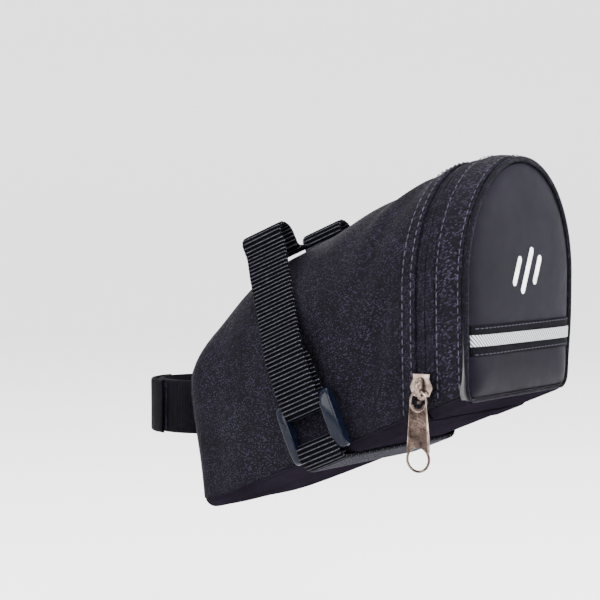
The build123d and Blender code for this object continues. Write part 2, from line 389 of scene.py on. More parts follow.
@dataclass(frozen=True)
class Webbing:
    """Ribbed nylon webbing: fine diagonal threads over ribs that are in the mesh, with painted highlight on the rib
    crests and painted shade between them.

    Attributes:
        name: the material's name.
        pitch: distance between ribs, mm.
        light: painted highlight colour on the rib crests.
    """

    name: str = "black_webbing"
    pitch: float = 1.67
    light: tuple[float, float, float] = (0.07, 0.068, 0.09)

    def material(self) -> bpy.types.Material:
        """Makes the material."""
        sheet = ShaderSheet(self.name, (0.02, 0.02, 0.025), 0.6)
        lay = sheet.lay()
        along = sheet.node("SeparateXYZ", Vector=lay)
        turn = sheet.maths("MULTIPLY", along.outputs["X"], 2.0 * math.pi / self.pitch)
        rib = sheet.range(sheet.maths("MULTIPLY", sheet.maths("ADD", sheet.maths("COSINE", turn), 1.0), 0.5),
                          0.0, 1.0)
        across = sheet.maths("MULTIPLY",
                             sheet.maths("ADD", along.outputs["Y"], sheet.maths("MULTIPLY", turn, 0.07)), 9.0)
        thread = sheet.maths("MULTIPLY", sheet.maths("ADD", sheet.maths("SINE", across), 1.0), 0.5)
        # Brightest on each rib's crest and near black between ribs: painted highlight and painted shade.
        lit = sheet.maths("MULTIPLY", sheet.maths("POWER", rib, 3.0), sheet.range(thread, 0.45, 1.0))
        lit = sheet.maths("MULTIPLY", lit, sheet.range(sheet.grain(lay, 0.5), 0.5, 1.4))
        sheet.colour(sheet.ramp(lit,
                                ((0.0, (0.0003, 0.0003, 0.0005)), (0.5, (0.003, 0.0028, 0.004)),
                                 (1.0, self.light))))
        sheet.roughness(sheet.range(lit, 0.8, 0.45))
        sheet.bump((thread, 0.6, 0.00012), (rib, 0.5, 0.0001))
        sheet.fixed(Specular_IOR_Level=0.02)
        return sheet.material


@dataclass(frozen=True)
class CoatedCloth:
    """Smooth coated cloth or rubberised skin with a fine grain and handling marks.

    Attributes:
        name: the material's name.
        tint: base colour.
        gloss: roughness of the smooth parts.
        shine: specular level.
        grain_scale: scale of the grain.
    """

    name: str
    tint: tuple[float, float, float]
    gloss: float
    shine: float = 0.05
    grain_scale: float = 2200.0

    def material(self) -> bpy.types.Material:
        """Makes the material."""
        sheet = ShaderSheet(self.name, self.tint, self.gloss)
        place = sheet.place()
        cloud = sheet.grain(place, 38.0, 5.0)
        deep = tuple(0.72 * c for c in self.tint)
        pale = tuple(1.25 * c for c in self.tint)
        sheet.colour(sheet.ramp(cloud, ((0.3, deep), (0.7, pale))))
        sheet.roughness(sheet.range(sheet.grain(place, 160.0, 6.0), self.gloss - 0.08, self.gloss + 0.12))
        cells = sheet.node("TexVoronoi", Vector=place, Scale=self.grain_scale)
        sheet.bump((cells.outputs["Distance"], 0.25, 0.00006), (cloud, 0.3, 0.0006))
        sheet.fixed(Specular_IOR_Level=self.shine)
        return sheet.material


@dataclass(frozen=True)
class MouldedPlastic:
    """Glossy moulded plastic with fine scuffs.

    Attributes:
        name: the material's name.
        tint: its colour.
    """

    name: str = "black_plastic"
    tint: tuple[float, float, float] = (0.0014, 0.002, 0.0046)

    def material(self) -> bpy.types.Material:
        """Makes the material."""
        sheet = ShaderSheet(self.name, self.tint, 0.2)
        place = sheet.place()
        scuff = sheet.grain(place, 420.0, 8.0)
        sheet.roughness(sheet.range(scuff, 0.07, 0.17))
        sheet.colour(sheet.ramp(scuff, ((0.35, self.tint), (0.8, tuple(2.2 * c for c in self.tint)))))
        sheet.bump((sheet.grain(place, 900.0, 4.0), 0.12, 0.00005))
        sheet.fixed(Specular_IOR_Level=0.1)
        return sheet.material


@dataclass(frozen=True)
class Nickel:
    """Nickel plate, worn duller and browner in the hollows, with a cast pattern where asked.

    Attributes:
        name: the material's name.
        dimples: scale of a hammered pattern, or 0 for none.
        worn: colour in the hollows.
        bright: colour where it is polished.
    """

    name: str = "nickel"
    dimples: float = 0.0
    worn: tuple[float, float, float] = (0.05, 0.034, 0.027)
    bright: tuple[float, float, float] = (0.29, 0.225, 0.19)

    def material(self) -> bpy.types.Material:
        """Makes the material."""
        sheet = ShaderSheet(self.name, (0.62, 0.58, 0.53), 0.24)
        place = sheet.place()
        tarnish = sheet.grain(place, 260.0, 6.0)
        sheet.colour(sheet.ramp(tarnish, ((0.3, self.worn), (0.66, self.bright))))
        sheet.roughness(sheet.range(tarnish, 0.36, 0.16))
        layers = [(sheet.grain(place, 1500.0, 4.0), 0.15, 0.00004)]
        if self.dimples:
            cells = sheet.node("TexVoronoi", Vector=place, Scale=self.dimples)
            cells.feature = "SMOOTH_F1"
            layers.append((cells.outputs["Distance"], 0.9, 0.0005))
        sheet.bump(*layers)
        sheet.fixed(Metallic=1.0)
        return sheet.material


@dataclass(frozen=True)
class Reflective:
    """Silver reflective weave with a fine slanted thread.

    Attributes:
        name: the material's name.
    """

    name: str = "reflective_tape"

    def material(self) -> bpy.types.Material:
        """Makes the material."""
        sheet = ShaderSheet(self.name, (0.6, 0.62, 0.64), 0.4)
        lay = sheet.lay()
        parts = sheet.node("SeparateXYZ", Vector=lay)
        slant = sheet.maths("ADD", parts.outputs["X"], parts.outputs["Y"])
        thread = sheet.maths("MULTIPLY",
                             sheet.maths("ADD", sheet.maths("SINE", sheet.maths("MULTIPLY", slant, 3.7)),
                                         1.0), 0.5)
        lit = sheet.maths("MULTIPLY", sheet.range(thread, 0.05, 1.0),
                          sheet.range(sheet.grain(lay, 0.9), 0.75, 1.2))
        sheet.colour(sheet.ramp(lit, ((0.15, (0.012, 0.013, 0.016)), (0.55, (0.34, 0.35, 0.37)))))
        sheet.bump((thread, 0.7, 0.0001))
        sheet.fixed(Specular_IOR_Level=0.1)
        return sheet.material


@dataclass(frozen=True)
class Plain:
    """Small or hidden finish: colour with a soft mottle and a fine surface.

    Attributes:
        name: the material's name.
        tint: base colour.
        rough: roughness.
        scale: scale of the fine surface.
        lift: its height, metres.
        spread: how much the colour varies.
    """

    name: str
    tint: tuple[float, float, float]
    rough: float = 0.7
    scale: float = 1800.0
    lift: float = 0.0001
    spread: float = 0.3

    def material(self) -> bpy.types.Material:
        """Makes the material."""
        sheet = ShaderSheet(self.name, self.tint, self.rough)
        place = sheet.place()
        mottle = sheet.grain(place, 240.0, 4.0)
        low, high = (tuple(min(1.0, (1 + sign * self.spread) * c) for c in self.tint) for sign in (-1, 1))
        sheet.colour(sheet.ramp(mottle, ((0.3, low), (0.7, high))))
        sheet.roughness(sheet.range(mottle, self.rough - 0.08, self.rough + 0.08))
        sheet.bump((sheet.grain(place, self.scale, 3.0), 0.5, self.lift))
        sheet.fixed(Specular_IOR_Level=0.1)
        return sheet.material


@dataclass
class Finishes:
    """Every material of the bag, made once."""

    cloth: bpy.types.Material = field(init=False)
    gusset: bpy.types.Material = field(init=False)
    webbing: bpy.types.Material = field(init=False)
    ribbon: bpy.types.Material = field(init=False)
    coated: bpy.types.Material = field(init=False)
    base: bpy.types.Material = field(init=False)
    panel: bpy.types.Material = field(init=False)
    piping: bpy.types.Material = field(init=False)
    plastic: bpy.types.Material = field(init=False)
    nickel: bpy.types.Material = field(init=False)
    cast_nickel: bpy.types.Material = field(init=False)
    shaded_rim_nickel: bpy.types.Material = field(init=False)
    silver: bpy.types.Material = field(init=False)
    tape: bpy.types.Material = field(init=False)
    coil: bpy.types.Material = field(init=False)
    thread: bpy.types.Material = field(init=False)
    lining: bpy.types.Material = field(init=False)
    board: bpy.types.Material = field(init=False)
    print: bpy.types.Material = field(init=False)

    def __post_init__(self) -> None:
        """Makes the materials."""
        self.cloth = WovenCloth().material()
        self.gusset = WovenCloth("woven_gusset", 0.95, 0.6, lift=0.0002).material()
        self.webbing = Webbing().material()
        self.ribbon = Webbing("black_ribbon", 0.7, (0.016, 0.015, 0.022)).material()
        self.coated = CoatedCloth("coated_pu", (0.0026, 0.002, 0.0044), 0.4, 0.022).material()
        # The same coated PU as coated_pu, with no specular and a lighter colour that stands in for its soft highlights:
        # painted sheen.
        self.base = CoatedCloth("base_coating", (0.0062, 0.0049, 0.0078), 0.6, 0.0).material()
        self.panel = CoatedCloth("rubberised_panel", (0.0036, 0.003, 0.0062), 0.48, 0.03).material()
        self.piping = WovenCloth("rolled_edge", 0.7, 0.5, light=(0.02, 0.017, 0.032)).material()
        self.plastic = MouldedPlastic().material()
        self.nickel = Nickel().material()
        self.cast_nickel = Nickel("nickel_cast", 1500.0, (0.006, 0.004, 0.0035),
                                  (0.06, 0.042, 0.034)).material()
        # A darker copy of the same nickel for the pull's ring and rolled rim: painted shade.
        self.shaded_rim_nickel = Nickel("nickel_rim", 0.0, (0.02, 0.013, 0.011), (0.2, 0.155, 0.13)).material()
        self.silver = Reflective().material()
        self.tape = WovenCloth("zip_tape", 0.8, 0.45, light=(0.024, 0.02, 0.038), lift=0.00014).material()
        self.coil = Plain("coil_plastic", (0.003, 0.003, 0.004), 0.35, 900.0).material()
        self.thread = Plain("thread", (0.026, 0.023, 0.036), 0.6, 4000.0).material()
        self.lining = WovenCloth("foam_lining", 0.8, 0.8, light=(0.02, 0.02, 0.024)).material()
        self.board = Plain("board", (0.05, 0.05, 0.05), 0.6).material()
        self.print = Plain("white_print", (0.7, 0.7, 0.69), 0.6).material()


# ---------------------------------------------------------------- meshes


@dataclass
class Weft:
    """Collects points and faces of one mesh, with each point's lay on the cloth.

    Attributes:
        points: positions in millimetres.
        faces: corner indices.
        lays: along, across and spare, in millimetres.
    """

    points: list[Point] = field(default_factory=list)
    faces: list[tuple[int, ...]] = field(default_factory=list)
    lays: list[Point] = field(default_factory=list)

    def grid(self, rows: Sequence[Sequence[Point]], ring: bool = False, loop: bool = False) -> None:
        """Adds a grid of quads.

        Args:
            rows: rows of points, all of one length.
            ring: joins each row's last point to its first.
            loop: joins the last row to the first.
        """
        start, wide = len(self.points), len(rows[0])
        along = 0.0
        for number, row in enumerate(rows):
            if number:
                along += (Vector(row[wide // 2]) - Vector(rows[number - 1][wide // 2])).length
            across = 0.0
            for place, point in enumerate(row):
                if place:
                    across += (Vector(point) - Vector(row[place - 1])).length
                self.points.append(tuple(point))
                self.lays.append((along, across, 0.0))
        high = len(rows)
        for i in range(high if loop else high - 1):
            for j in range(wide if ring else wide - 1):
                a, b = start + i * wide, start + (i + 1) % high * wide
                k = (j + 1) % wide
                self.faces.append((a + j, a + k, b + k, b + j))

    def cap(self, ring_start: int, count: int, flip: bool = False) -> None:
        """Closes a ring of points with one face.

        Args:
            ring_start: index of its first point.
            count: how many points it has.
            flip: turns the face over.
        """
        corners = tuple(range(ring_start, ring_start + count))
        self.faces.append(corners[::-1] if flip else corners)

    def tube(self, rings: Sequence[Sequence[Point]], closed: bool = False) -> None:
        """Adds a skin through rings of points, capped unless it closes on itself.

        Args:
            rings: cross-sections, all of one length.
            closed: joins the last ring to the first.
        """
        start, count = len(self.points), len(rings[0])
        self.grid(rings, ring=True, loop=closed)
        if not closed:
            self.cap(start, count)
            self.cap(start + (len(rings) - 1) * count, count, flip=True)

    def build(self, name: str, material: bpy.types.Material, smooth: bool = True) -> bpy.types.Object:
        """Makes the object in metres.

        Args:
            name: its name.
            material: its finish.
            smooth: shades it smooth.

        Returns:
            The object, linked to the scene.
        """
        mesh = bpy.data.meshes.new(name)
        mesh.from_pydata([[c * MM for c in p] for p in self.points], [], self.faces)
        layer = mesh.attributes.new(LAY, "FLOAT_VECTOR", "POINT")
        layer.data.foreach_set("vector", [c for lay in self.lays for c in lay])
        made = bpy.data.objects.new(name, mesh)
        bpy.context.scene.collection.objects.link(made)
        tidy = bmesh.new()
        tidy.from_mesh(mesh)
        bmesh.ops.recalc_face_normals(tidy, faces=tidy.faces)
        tidy.to_mesh(mesh)
        tidy.free()
        mesh.materials.append(material)
        mesh.shade_smooth() if smooth else mesh.shade_flat()
        return made


def thicken(piece: bpy.types.Object, thickness: float, offset: float = -1.0) -> None:
    """Gives a sheet a thickness.

    Args:
        piece: the sheet.
        thickness: in millimetres.
        offset: -1 grows inwards, 1 outwards.
    """
    solid = piece.modifiers.new("thickness", "SOLIDIFY")
    solid.thickness = thickness * MM
    solid.offset = offset
    solid.use_even_offset = False


def soften(piece: bpy.types.Object, levels: int = 1) -> None:
    """Adds a subdivision surface to a piece."""
    smoother = piece.modifiers.new("soft", "SUBSURF")
    smoother.levels = smoother.render_levels = levels


def settle(piece: bpy.types.Object, body: Body, slot: str, *nodes: str) -> bpy.types.Object:
    """Puts a finished piece on its body.

    Args:
        piece: the piece.
        body: what it rides on.
        slot: the record's material slot.
        nodes: CAD nodes that it stands for.

    Returns:
        The piece.
    """
    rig.ride(piece, body.value)
    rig.slot(piece, slot)
    if nodes:
        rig.replaces(piece, *nodes)
    log.info("%s rides on %s", piece.name, body.value)
    return piece


def flat_plate(
    name: str, outlines: Sequence[Sequence[tuple[float, float]]], thickness: float, bevel: float, seat: Matrix,
    material: bpy.types.Material,
) -> bpy.types.Object:
    """A plate with rounded edges and holes.

    Args:
        name: its name.
        outlines: the outside and any holes, as closed loops in the plate's plane, mm.
        thickness: overall, mm.
        bevel: edge radius, mm.
        seat: puts the plate's plane in the frame; its translation is in millimetres.
        material: its finish.

    Returns:
        The object.
    """
    curve = bpy.data.curves.new(name, "CURVE")
    curve.dimensions = "2D"
    curve.fill_mode = "BOTH"
    curve.extrude = (thickness / 2 - bevel) * MM
    curve.bevel_depth = bevel * MM
    curve.bevel_resolution = 2
    curve.offset = -bevel * MM
    for outline in outlines:
        spline = curve.splines.new("POLY")
        spline.points.add(len(outline) - 1)
        for target, (x, y) in zip(spline.points, outline):
            target.co = (x * MM, y * MM, 0.0, 1.0)
        spline.use_cyclic_u = True
    holder = bpy.data.objects.new(name + "_curve", curve)
    bpy.context.scene.collection.objects.link(holder)
    mesh = bpy.data.meshes.new_from_object(holder.evaluated_get(bpy.context.evaluated_depsgraph_get()))
    bpy.data.objects.remove(holder)
    mesh.name = name
    place = seat.copy()
    place.translation *= MM
    mesh.transform(place)
    weld = bmesh.new()
    weld.from_mesh(mesh)
    bmesh.ops.remove_doubles(weld, verts=weld.verts, dist=0.00001)
    bmesh.ops.recalc_face_normals(weld, faces=weld.faces)
    weld.to_mesh(mesh)
    weld.free()
    mesh.materials.clear()
    mesh.materials.append(material)
    mesh.shade_smooth()
    mesh.set_sharp_from_angle(angle=math.radians(50))
    made = bpy.data.objects.new(name, mesh)
    bpy.context.scene.collection.objects.link(made)
    return made


def arc_points(centre: tuple[float, float], radius: float, start: float, sweep: float,
               count: int = 24) -> list[tuple[float, float]]:
    """Points along an arc.

    Args:
        centre: its centre.
        radius: its radius.
        start: first angle, degrees.
        sweep: angle it turns, degrees.
        count: how many points.

    Returns:
        The points.
    """
    angles = (math.radians(start + sweep * i / (count - 1)) for i in range(count))
    return [(centre[0] + radius * math.cos(a), centre[1] + radius * math.sin(a)) for a in angles]


def rounded_route(points: Sequence[tuple[float, float]], radii: Sequence[float], step: float) -> list[Vector]:
    """Straight runs joined by tangent arcs, as evenly spaced points.

    Args:
        points: the corners and ends.
        radii: an arc radius for each corner.
        step: spacing, mm.

    Returns:
        The points, in the plane of the route.
    """
    raw: list[Vector] = [Vector(points[0])]
    for before, corner, after, radius in zip(points, points[1:], points[2:], radii):
        here = Vector(corner)
        back, ahead = (Vector(before) - here).normalized(), (Vector(after) - here).normalized()
        half = back.angle(ahead) / 2
        reach = radius / math.tan(half)
        centre = here + (back + ahead).normalized() * radius / math.sin(half)
        first, last = here + back * reach - centre, here + ahead * reach - centre
        turn = first.angle_signed(last)
        for i in range(13):
            raw.append(centre + Matrix.Rotation(-turn * i / 12, 2) @ first)
    raw.append(Vector(points[-1]))
    return even_steps(raw, step)


def even_steps(raw: Sequence[Vector], step: float) -> list[Vector]:
    """Resamples a polyline.

    Args:
        raw: its points.
        step: the wanted spacing.

    Returns:
        Evenly spaced points from end to end.
    """
    lengths = [0.0]
    for a, b in zip(raw, raw[1:]):
        lengths.append(lengths[-1] + (b - a).length)
    count = max(2, round(lengths[-1] / step) + 1)
    found, place = [], 0
    for i in range(count):
        want = lengths[-1] * i / (count - 1)
        while place < len(raw) - 2 and lengths[place + 1] < want:
            place += 1
        span = max(lengths[place + 1] - lengths[place], 1e-9)
        found.append(raw[place].lerp(raw[place + 1], min(1.0, (want - lengths[place]) / span)))
    return found


@dataclass
class StitchRow:
    """A row of thread stitches laid on a surface.

    Attributes:
        long: length of a stitch, mm.
        gap: space between stitches, mm.
        thick: thread radius, mm.
    """

    long: float = 2.3
    gap: float = 0.8
    thick: float = 0.24

    def sew(self, weft: Weft, path: Sequence[Vector], outward: Callable[[Vector], Vector]) -> None:
        """Adds the row's stitches.

        Args:
            weft: the mesh to add to.
            path: the line on the surface.
            outward: the surface's outward direction at a point.
        """
        pitch = self.long + self.gap
        line = even_steps(path, pitch / 6)
        for first in range(0, len(line) - 6, 6):
            spine = line[first : first + 5]
            normal = outward(spine[2]).normalized()
            ahead = (spine[-1] - spine[0]).normalized()
            side = ahead.cross(normal)
            rings = []
            for place, centre in enumerate(spine):
                swell = math.sin(math.pi * (place + 0.35) / (len(spine) - 0.3)) ** 0.5
                middle = centre + normal * self.thick * (0.9 * swell - 0.35)
                ring = []
                for i in range(6):
                    a = math.tau * i / 6
                    ring.append(tuple(middle + (side * math.cos(a) * 1.15 + normal * math.sin(a)) * self.thick * swell))
                rings.append(ring)
            weft.tube(rings)


# ---------------------------------------------------------------- the bag's shape


@dataclass(frozen=True)
class BagShape:
    """The bag's outline, section by section, read from the frame.

    Attributes:
        front: y of the front panel.
        zip: y of the zip's plane.
        rear: y of the lid's rear seam.
        zip_half: half width at the zip.
        zip_top: top at the zip.
        tape_low: z of the zip tape's lower end.
        knee: y where the nose meets the long top.
        slope: fall of the base, in z per mm of y.
        base_front: z of the base at the front.
        front_half: half width at the front panel.
        front_top: top at the front panel.
        front_rise: height of its arch.
        knee_half: half width at the knee.
        knee_top: top at the knee.
        knee_rise: height of its arch.
        zip_rise: height of the arch at the zip.
        corner: radius of the lower corners.
        seam_up: from the base up to the side seam.
        tape_edge: from the zip's plane to the tape's edge.
    """

    front: float
    zip: float
    rear: float
    zip_half: float
    zip_top: float
    tape_low: float
    knee: float = -38.0
    slope: float = math.tan(math.radians(22.5))
    base_front: float = -42.0
    front_half: float = 31.0
    front_top: float = 31.0
    front_rise: float = 20.0
    knee_half: float = 35.0
    knee_top: float = 57.0
    knee_rise: float = 34.0
    zip_rise: float = 46.0
    corner: float = 6.0
    seam_up: float = 4.3
    tape_edge: float = 4.2

    @classmethod
    def from_frame(cls) -> "BagShape":
        """Reads the driving places from the CAD nodes."""
        gusset_low, gusset_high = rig.box("lid_gusset")
        tape_low, tape_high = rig.box("body_zip_tape")
        lid_tape_low, lid_tape_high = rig.box("lid_zip_tape")
        front_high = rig.box("front_panel")[1]
        return cls(
            front=front_high[1] / MM,
            zip=(tape_low[1] + lid_tape_high[1]) / 2 / MM,
            rear=gusset_low[1] / MM,
            zip_half=gusset_high[0] / MM,
            zip_top=gusset_high[2] / MM,
            tape_low=tape_low[2] / MM,
        )

    def base(self, y: float) -> float:
        """Height of the base at y."""
        return self.base_front + (self.front - y) * self.slope

    def sizes(self, y: float) -> tuple[float, float, float]:
        """Half width, top and arch height at y, eased over the knee.

        Args:
            y: place along the bag.

        Returns:
            The three sizes.
        """
        y = min(y, self.front)
        total = [0.0, 0.0, 0.0]
        easing = (-7.0, -3.5, 0.0, 3.5, 7.0)
        for shift in easing:
            at = min(self.front, y + shift) if y < self.front - 7.0 else y
            nose = (self.front_half, self.front_top, self.front_rise)
            knee = (self.knee_half, self.knee_top, self.knee_rise)
            tail = (self.zip_half, self.zip_top, self.zip_rise)
            if at > self.knee:
                share, pair = (at - self.front) / (self.knee - self.front), (nose, knee)
            else:
                share, pair = min(1.0, (at - self.knee) / (self.zip - self.knee)), (knee, tail)
            for i in range(3):
                total[i] += pair[0][i] + share * (pair[1][i] - pair[0][i])
        return tuple(t / len(easing) for t in total)

    @lru_cache(maxsize=4096)
    def half_line(self, y: float, growth: float) -> tuple[list[Vector], list[float], float]:
        """The right half of the outline from the top to the middle of the base.

        Args:
            y: place along the bag.
            growth: how far outwards.

        Returns:
            The points, their distances from the top, and the distance to the side seam.
        """
        half, top, rise = self.sizes(y)
        half, top, rise = half + growth, top + growth, rise + growth
        low = self.base(y) - growth
        radius = max(self.corner + growth, 0.5)
        spring = top - rise
        line = [Vector((half * math.sin(a),
                        spring + rise * math.cos(a))) for a in (math.pi / 2 * i / 48 for i in range(49))]
        straight = spring - low - radius
        line += [Vector((half, spring - straight * i / 12)) for i in range(1, 12)]
        line += [Vector(p) for p in arc_points((half - radius, low + radius), radius, 0, -90, 13)]
        line.append(Vector((0.0, low)))
        for point in line:
            rise_share = max(0.0, min(1.0, (point.y - low) / (spring - low + 1e-6)))
            point.x *= 0.955 + 0.045 * math.sin(rise_share * math.pi / 2)
        lengths = [0.0]
        for a, b in zip(line, line[1:]):
            lengths.append(lengths[-1] + (b - a).length)
        seam_z = max(self.base(y) + self.seam_up, low + 0.5)
        seam = next(lengths[i] for i in range(1, len(line)) if line[i].y <= seam_z)
        return line, lengths, seam

    def spot(self, y: float, t: float, growth: float = 0.0) -> Vector:
        """A point on the bag.

        Args:
            y: place along the bag.
            t: place round it: 0 the top, 1 the side seam, 2 the middle of the base; negative on the left.
            growth: how far outwards.

        Returns:
            The point.
        """
        line, lengths, seam = self.half_line(round(y, 3), round(growth, 3))
        share = abs(t)
        want = seam * share if share <= 1 else seam + (lengths[-1] - seam) * (share - 1)
        low, high = 0, len(lengths) - 1
        while high - low > 1:
            middle = (low + high) // 2
            low, high = (middle, high) if lengths[middle] <= want else (low, middle)
        span = max(lengths[high] - lengths[low], 1e-9)
        flat = line[low].lerp(line[high], (want - lengths[low]) / span)
        return Vector((math.copysign(flat.x, t), y, flat.y))

    def outward(self, point: Vector) -> Vector:
        """Roughly outwards from the bag's middle line at a point."""
        half, top, rise = self.sizes(point.y)
        middle = Vector((0.0, point.y, max(self.base(point.y) + half * 0.4, min(point.z, top - rise))))
        away = point - middle
        away.y = 0.0
        return away

    def turn_at(self, y: float, z: float) -> float:
        """The t of the right side at height z."""
        low, high = 0.0, 1.5
        for _ in range(30):
            middle = (low + high) / 2
            low, high = (middle, high) if self.spot(y, middle).z > z else (low, middle)
        return (low + high) / 2


# ---------------------------------------------------------------- sub-assemblies


@dataclass
class BagBody:
    """The woven body: wrap, front panel, coated base, hem, lining and hinge strip.

    Attributes:
        shape: the bag's outline.
        finishes: its materials.
        cloth: cloth thickness, mm.
        rows: rows of the wrap's grid along the bag.
        columns: its columns round the bag.
        edge_round: how far the front edges are rolled over, mm.
        hem_wide: width of the hem by the zip, mm.
        strap_foot: y where the straps cross the side, mm.
    """

    shape: BagShape
    finishes: Finishes
    cloth: float = 1.2
    rows: int = 76
    columns: int = 150
    edge_round: float = 5.0
    hem_wide: float = 6.3
    strap_foot: float = -88.0

    def roll(self, y: float) -> float:
        """How far the outline draws in near the front edge."""
        depth = self.shape.front - y
        if depth >= self.edge_round:
            return 0.0
        return -(self.edge_round - math.sqrt(max(0.0, self.edge_round**2 - (self.edge_round - depth) ** 2)))

    def hug(self, point: Vector) -> Vector:
        """Where a point of the front goes when the nose swells forwards and outwards on both sides of the post."""
        depth = max(0.0, self.shape.front - point.y)
        height = math.exp(-(((point.z - 14.0) / 30.0) ** 2))
        side = max(0.0, min(1.0, (abs(point.x) - 13.0) / 9.0))
        ease = side * side * (3.0 - 2.0 * side) * height
        forwards, outwards = 4.0 * ease * math.exp(-depth / 9.0), 3.2 * ease * math.exp(-depth / 22.0)
        lift = 3.2 * math.exp(-depth / 7.0) * math.exp(-(((point.z - self.shape.base(point.y)) / 9.0) ** 2))
        return Vector((point.x + math.copysign(outwards, point.x), point.y + forwards, point.z + lift))

    def drape(self, y: float, t: float) -> float:
        """How far the cloth stands off its outline: slack, folds by the zip and low corners, and dents at the straps.

        Args:
            y: place along the bag.
            t: place round it.

        Returns:
            The distance, mm.
        """
        to_zip = y - (self.shape.zip + self.shape.tape_edge)
        to_front = self.shape.front - y
        pinned = min(1.0, to_zip / 14.0) * min(1.0, to_front / 12.0) * min(1.0, (1.0 - abs(t)) / 0.12)
        pinned = max(0.0, pinned)
        slack = noise.noise(Vector((y * 0.028, t * 2.6, 4.2))) * 2.0
        slack += noise.noise(Vector((y * 0.075, t * 5.5, 9.1))) * 0.7
        slant = y * 0.16 + t * 9.0
        folds = 0.85 * math.exp(-((to_zip - 14.0) / 16.0) ** 2) * math.sin(slant * 1.9 + 2.0 * noise.noise(Vector((y * 0.05, t * 3.0, 1.0))))
        low = max(0.0, min(1.0, (abs(t) - 0.55) / 0.3))
        corner = 1.3 * low * math.sin(y * 0.22 + t * 14.0) * math.exp(-((y + 112.0) / 26.0) ** 2)
        point_z = self.shape.spot(y, t).z
        strap_y = self.strap_foot + (point_z - self.shape.base(self.strap_foot)) * 0.41
        dent = -1.3 * math.exp(-((y - strap_y) / 9.5) ** 4) * min(1.0, max(0.0, (abs(t) - 0.3) / 0.2))
        beside = 0.6 * math.exp(-((abs(y - strap_y) - 16.0) / 6.0) ** 2) * min(1.0,
            max(0.0, (abs(t) - 0.3) / 0.2))
        return pinned * (slack + folds + corner - 0.4) + dent + beside * pinned

    def wrap_rows(self) -> list[list[Point]]:
        """The wrap's grid, from the front to the zip."""
        end = self.shape.zip + self.shape.tape_edge
        found = []
        for i in range(self.rows + 1):
            share = i / self.rows
            y = self.shape.front + (end - self.shape.front) * (share**1.08)
            y = max(end, y)
            row = []
            for j in range(self.columns + 1):
                t = -1.0 + 2.0 * j / self.columns
                point = self.shape.spot(y, t, self.roll(y))
                point += self.shape.outward(point).normalized() * self.drape(y, t)
                row.append(tuple(self.hug(point)))
            found.append(row)
        return found

    def wrap(self) -> None:
        """The woven side and top wrap."""
        weft = Weft()
        weft.grid(self.wrap_rows())
        piece = weft.build("wrap_cloth", self.finishes.cloth)
        thicken(piece, self.cloth)
        soften(piece)
        settle(piece, Body.BAG, "woven_polyester", "body_wrap")
        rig.padded(piece, 0.55)

    def front(self) -> None:
        """The front panel, dished where it rests against the post."""
        centre = Vector((0.0, 0.0, -8.0))
        edge = [self.shape.spot(self.shape.front, t,
                                self.roll(self.shape.front)) for t in (-2 + 4 * i / 120 for i in range(120))]
        rings = []
        for share in (1.0, 0.97, 0.9, 0.8, 0.68, 0.55, 0.42, 0.3, 0.18, 0.08):
            ring = []
            for point in edge:
                x, z = point.x * share, centre.z + (point.z - centre.z) * share
                dish = 0.9 * (1 - share) + 0.25 * noise.noise(Vector((x * 0.1, z * 0.1, 3.0))) * (1 - share)
                ring.append(tuple(self.hug(Vector((x, self.shape.front - dish, z)))))
            rings.append(ring)
        weft = Weft()
        weft.grid(rings, ring=True)
        weft.cap((len(rings) - 1) * len(edge), len(edge))
        piece = weft.build("front_cloth", self.finishes.cloth)
        for number, point in enumerate(piece.data.vertices):
            piece.data.attributes[LAY].data[number].vector = (point.co.x / MM, point.co.z / MM, 0.0)
        thicken(piece, self.cloth, -1.0)
        settle(piece, Body.BAG, "woven_polyester", "front_panel")
        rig.padded(piece, 0.5)

    def under_rows(self, y_from: float, y_to: float, count: int, growth: float) -> list[list[Point]]:
        """Rows across the base from seam to seam.

        Args:
            y_from: first row's place.
            y_to: last row's place.
            count: how many spans.
            growth: offset from the outline.

        Returns:
            The rows.
        """
        places = [1 + j / 24 for j in range(25)] + [-2 + j / 24 for j in range(1, 25)]
        found = []
        for i in range(count + 1):
            y = y_from + (y_to - y_from) * i / count
            row = []
            for t in places:
                point = self.shape.spot(y, t, growth + self.roll(y))
                sag = 0.5 * noise.noise(Vector((y * 0.04, point.x * 0.05, 7.0))) * max(0.0, abs(t) - 1.0)
                row.append(tuple(self.hug(point + Vector((0, 0, sag * 0.8)))))
            found.append(row)
        return found

    def base(self) -> None:
        """The coated base that turns up the sides, with a raised seam cord."""
        weft = Weft()
        weft.grid(self.under_rows(self.shape.front, self.shape.zip + 0.2, 60, 0.15))
        piece = weft.build("base_skin", self.finishes.base)
        thicken(piece, self.cloth)
        soften(piece)
        settle(piece, Body.BAG, "coated_pu", "base_panel")
        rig.padded(piece, 0.4)
        seams = Weft()
        for side in (-1, 1):
            path = [self.hug(self.shape.spot(y, side * 1.0,
                                             0.25 + self.roll(y))) for y in even_places(self.shape.front - 4,
                                                 self.shape.zip + 0.4, 80)]
            seams.tube(round_rings(path, 0.45, 6))
        settle(seams.build("base_seam_cord", self.finishes.base), Body.BAG, "coated_pu")

    def lining(self) -> None:
        """The foam-backed lining inside the body."""
        weft = Weft()
        inset = -self.cloth - 1.8
        rows = []
        for y in even_places(self.shape.front - 1.6, self.shape.zip + 5.8, 30):
            rows.append([tuple(self.shape.spot(y, -2 + 4 * j / 96,
                                               inset + min(0.0, self.roll(y)))) for j in range(96)])
        weft.grid(rows, ring=True)
        weft.cap(0, 96)
        piece = weft.build("lining_cloth", self.finishes.lining)
        thicken(piece, 1.0, 1.0)
        settle(piece, Body.BAG, "foam_lining", "body_lining")
        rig.padded(piece, 0.5)

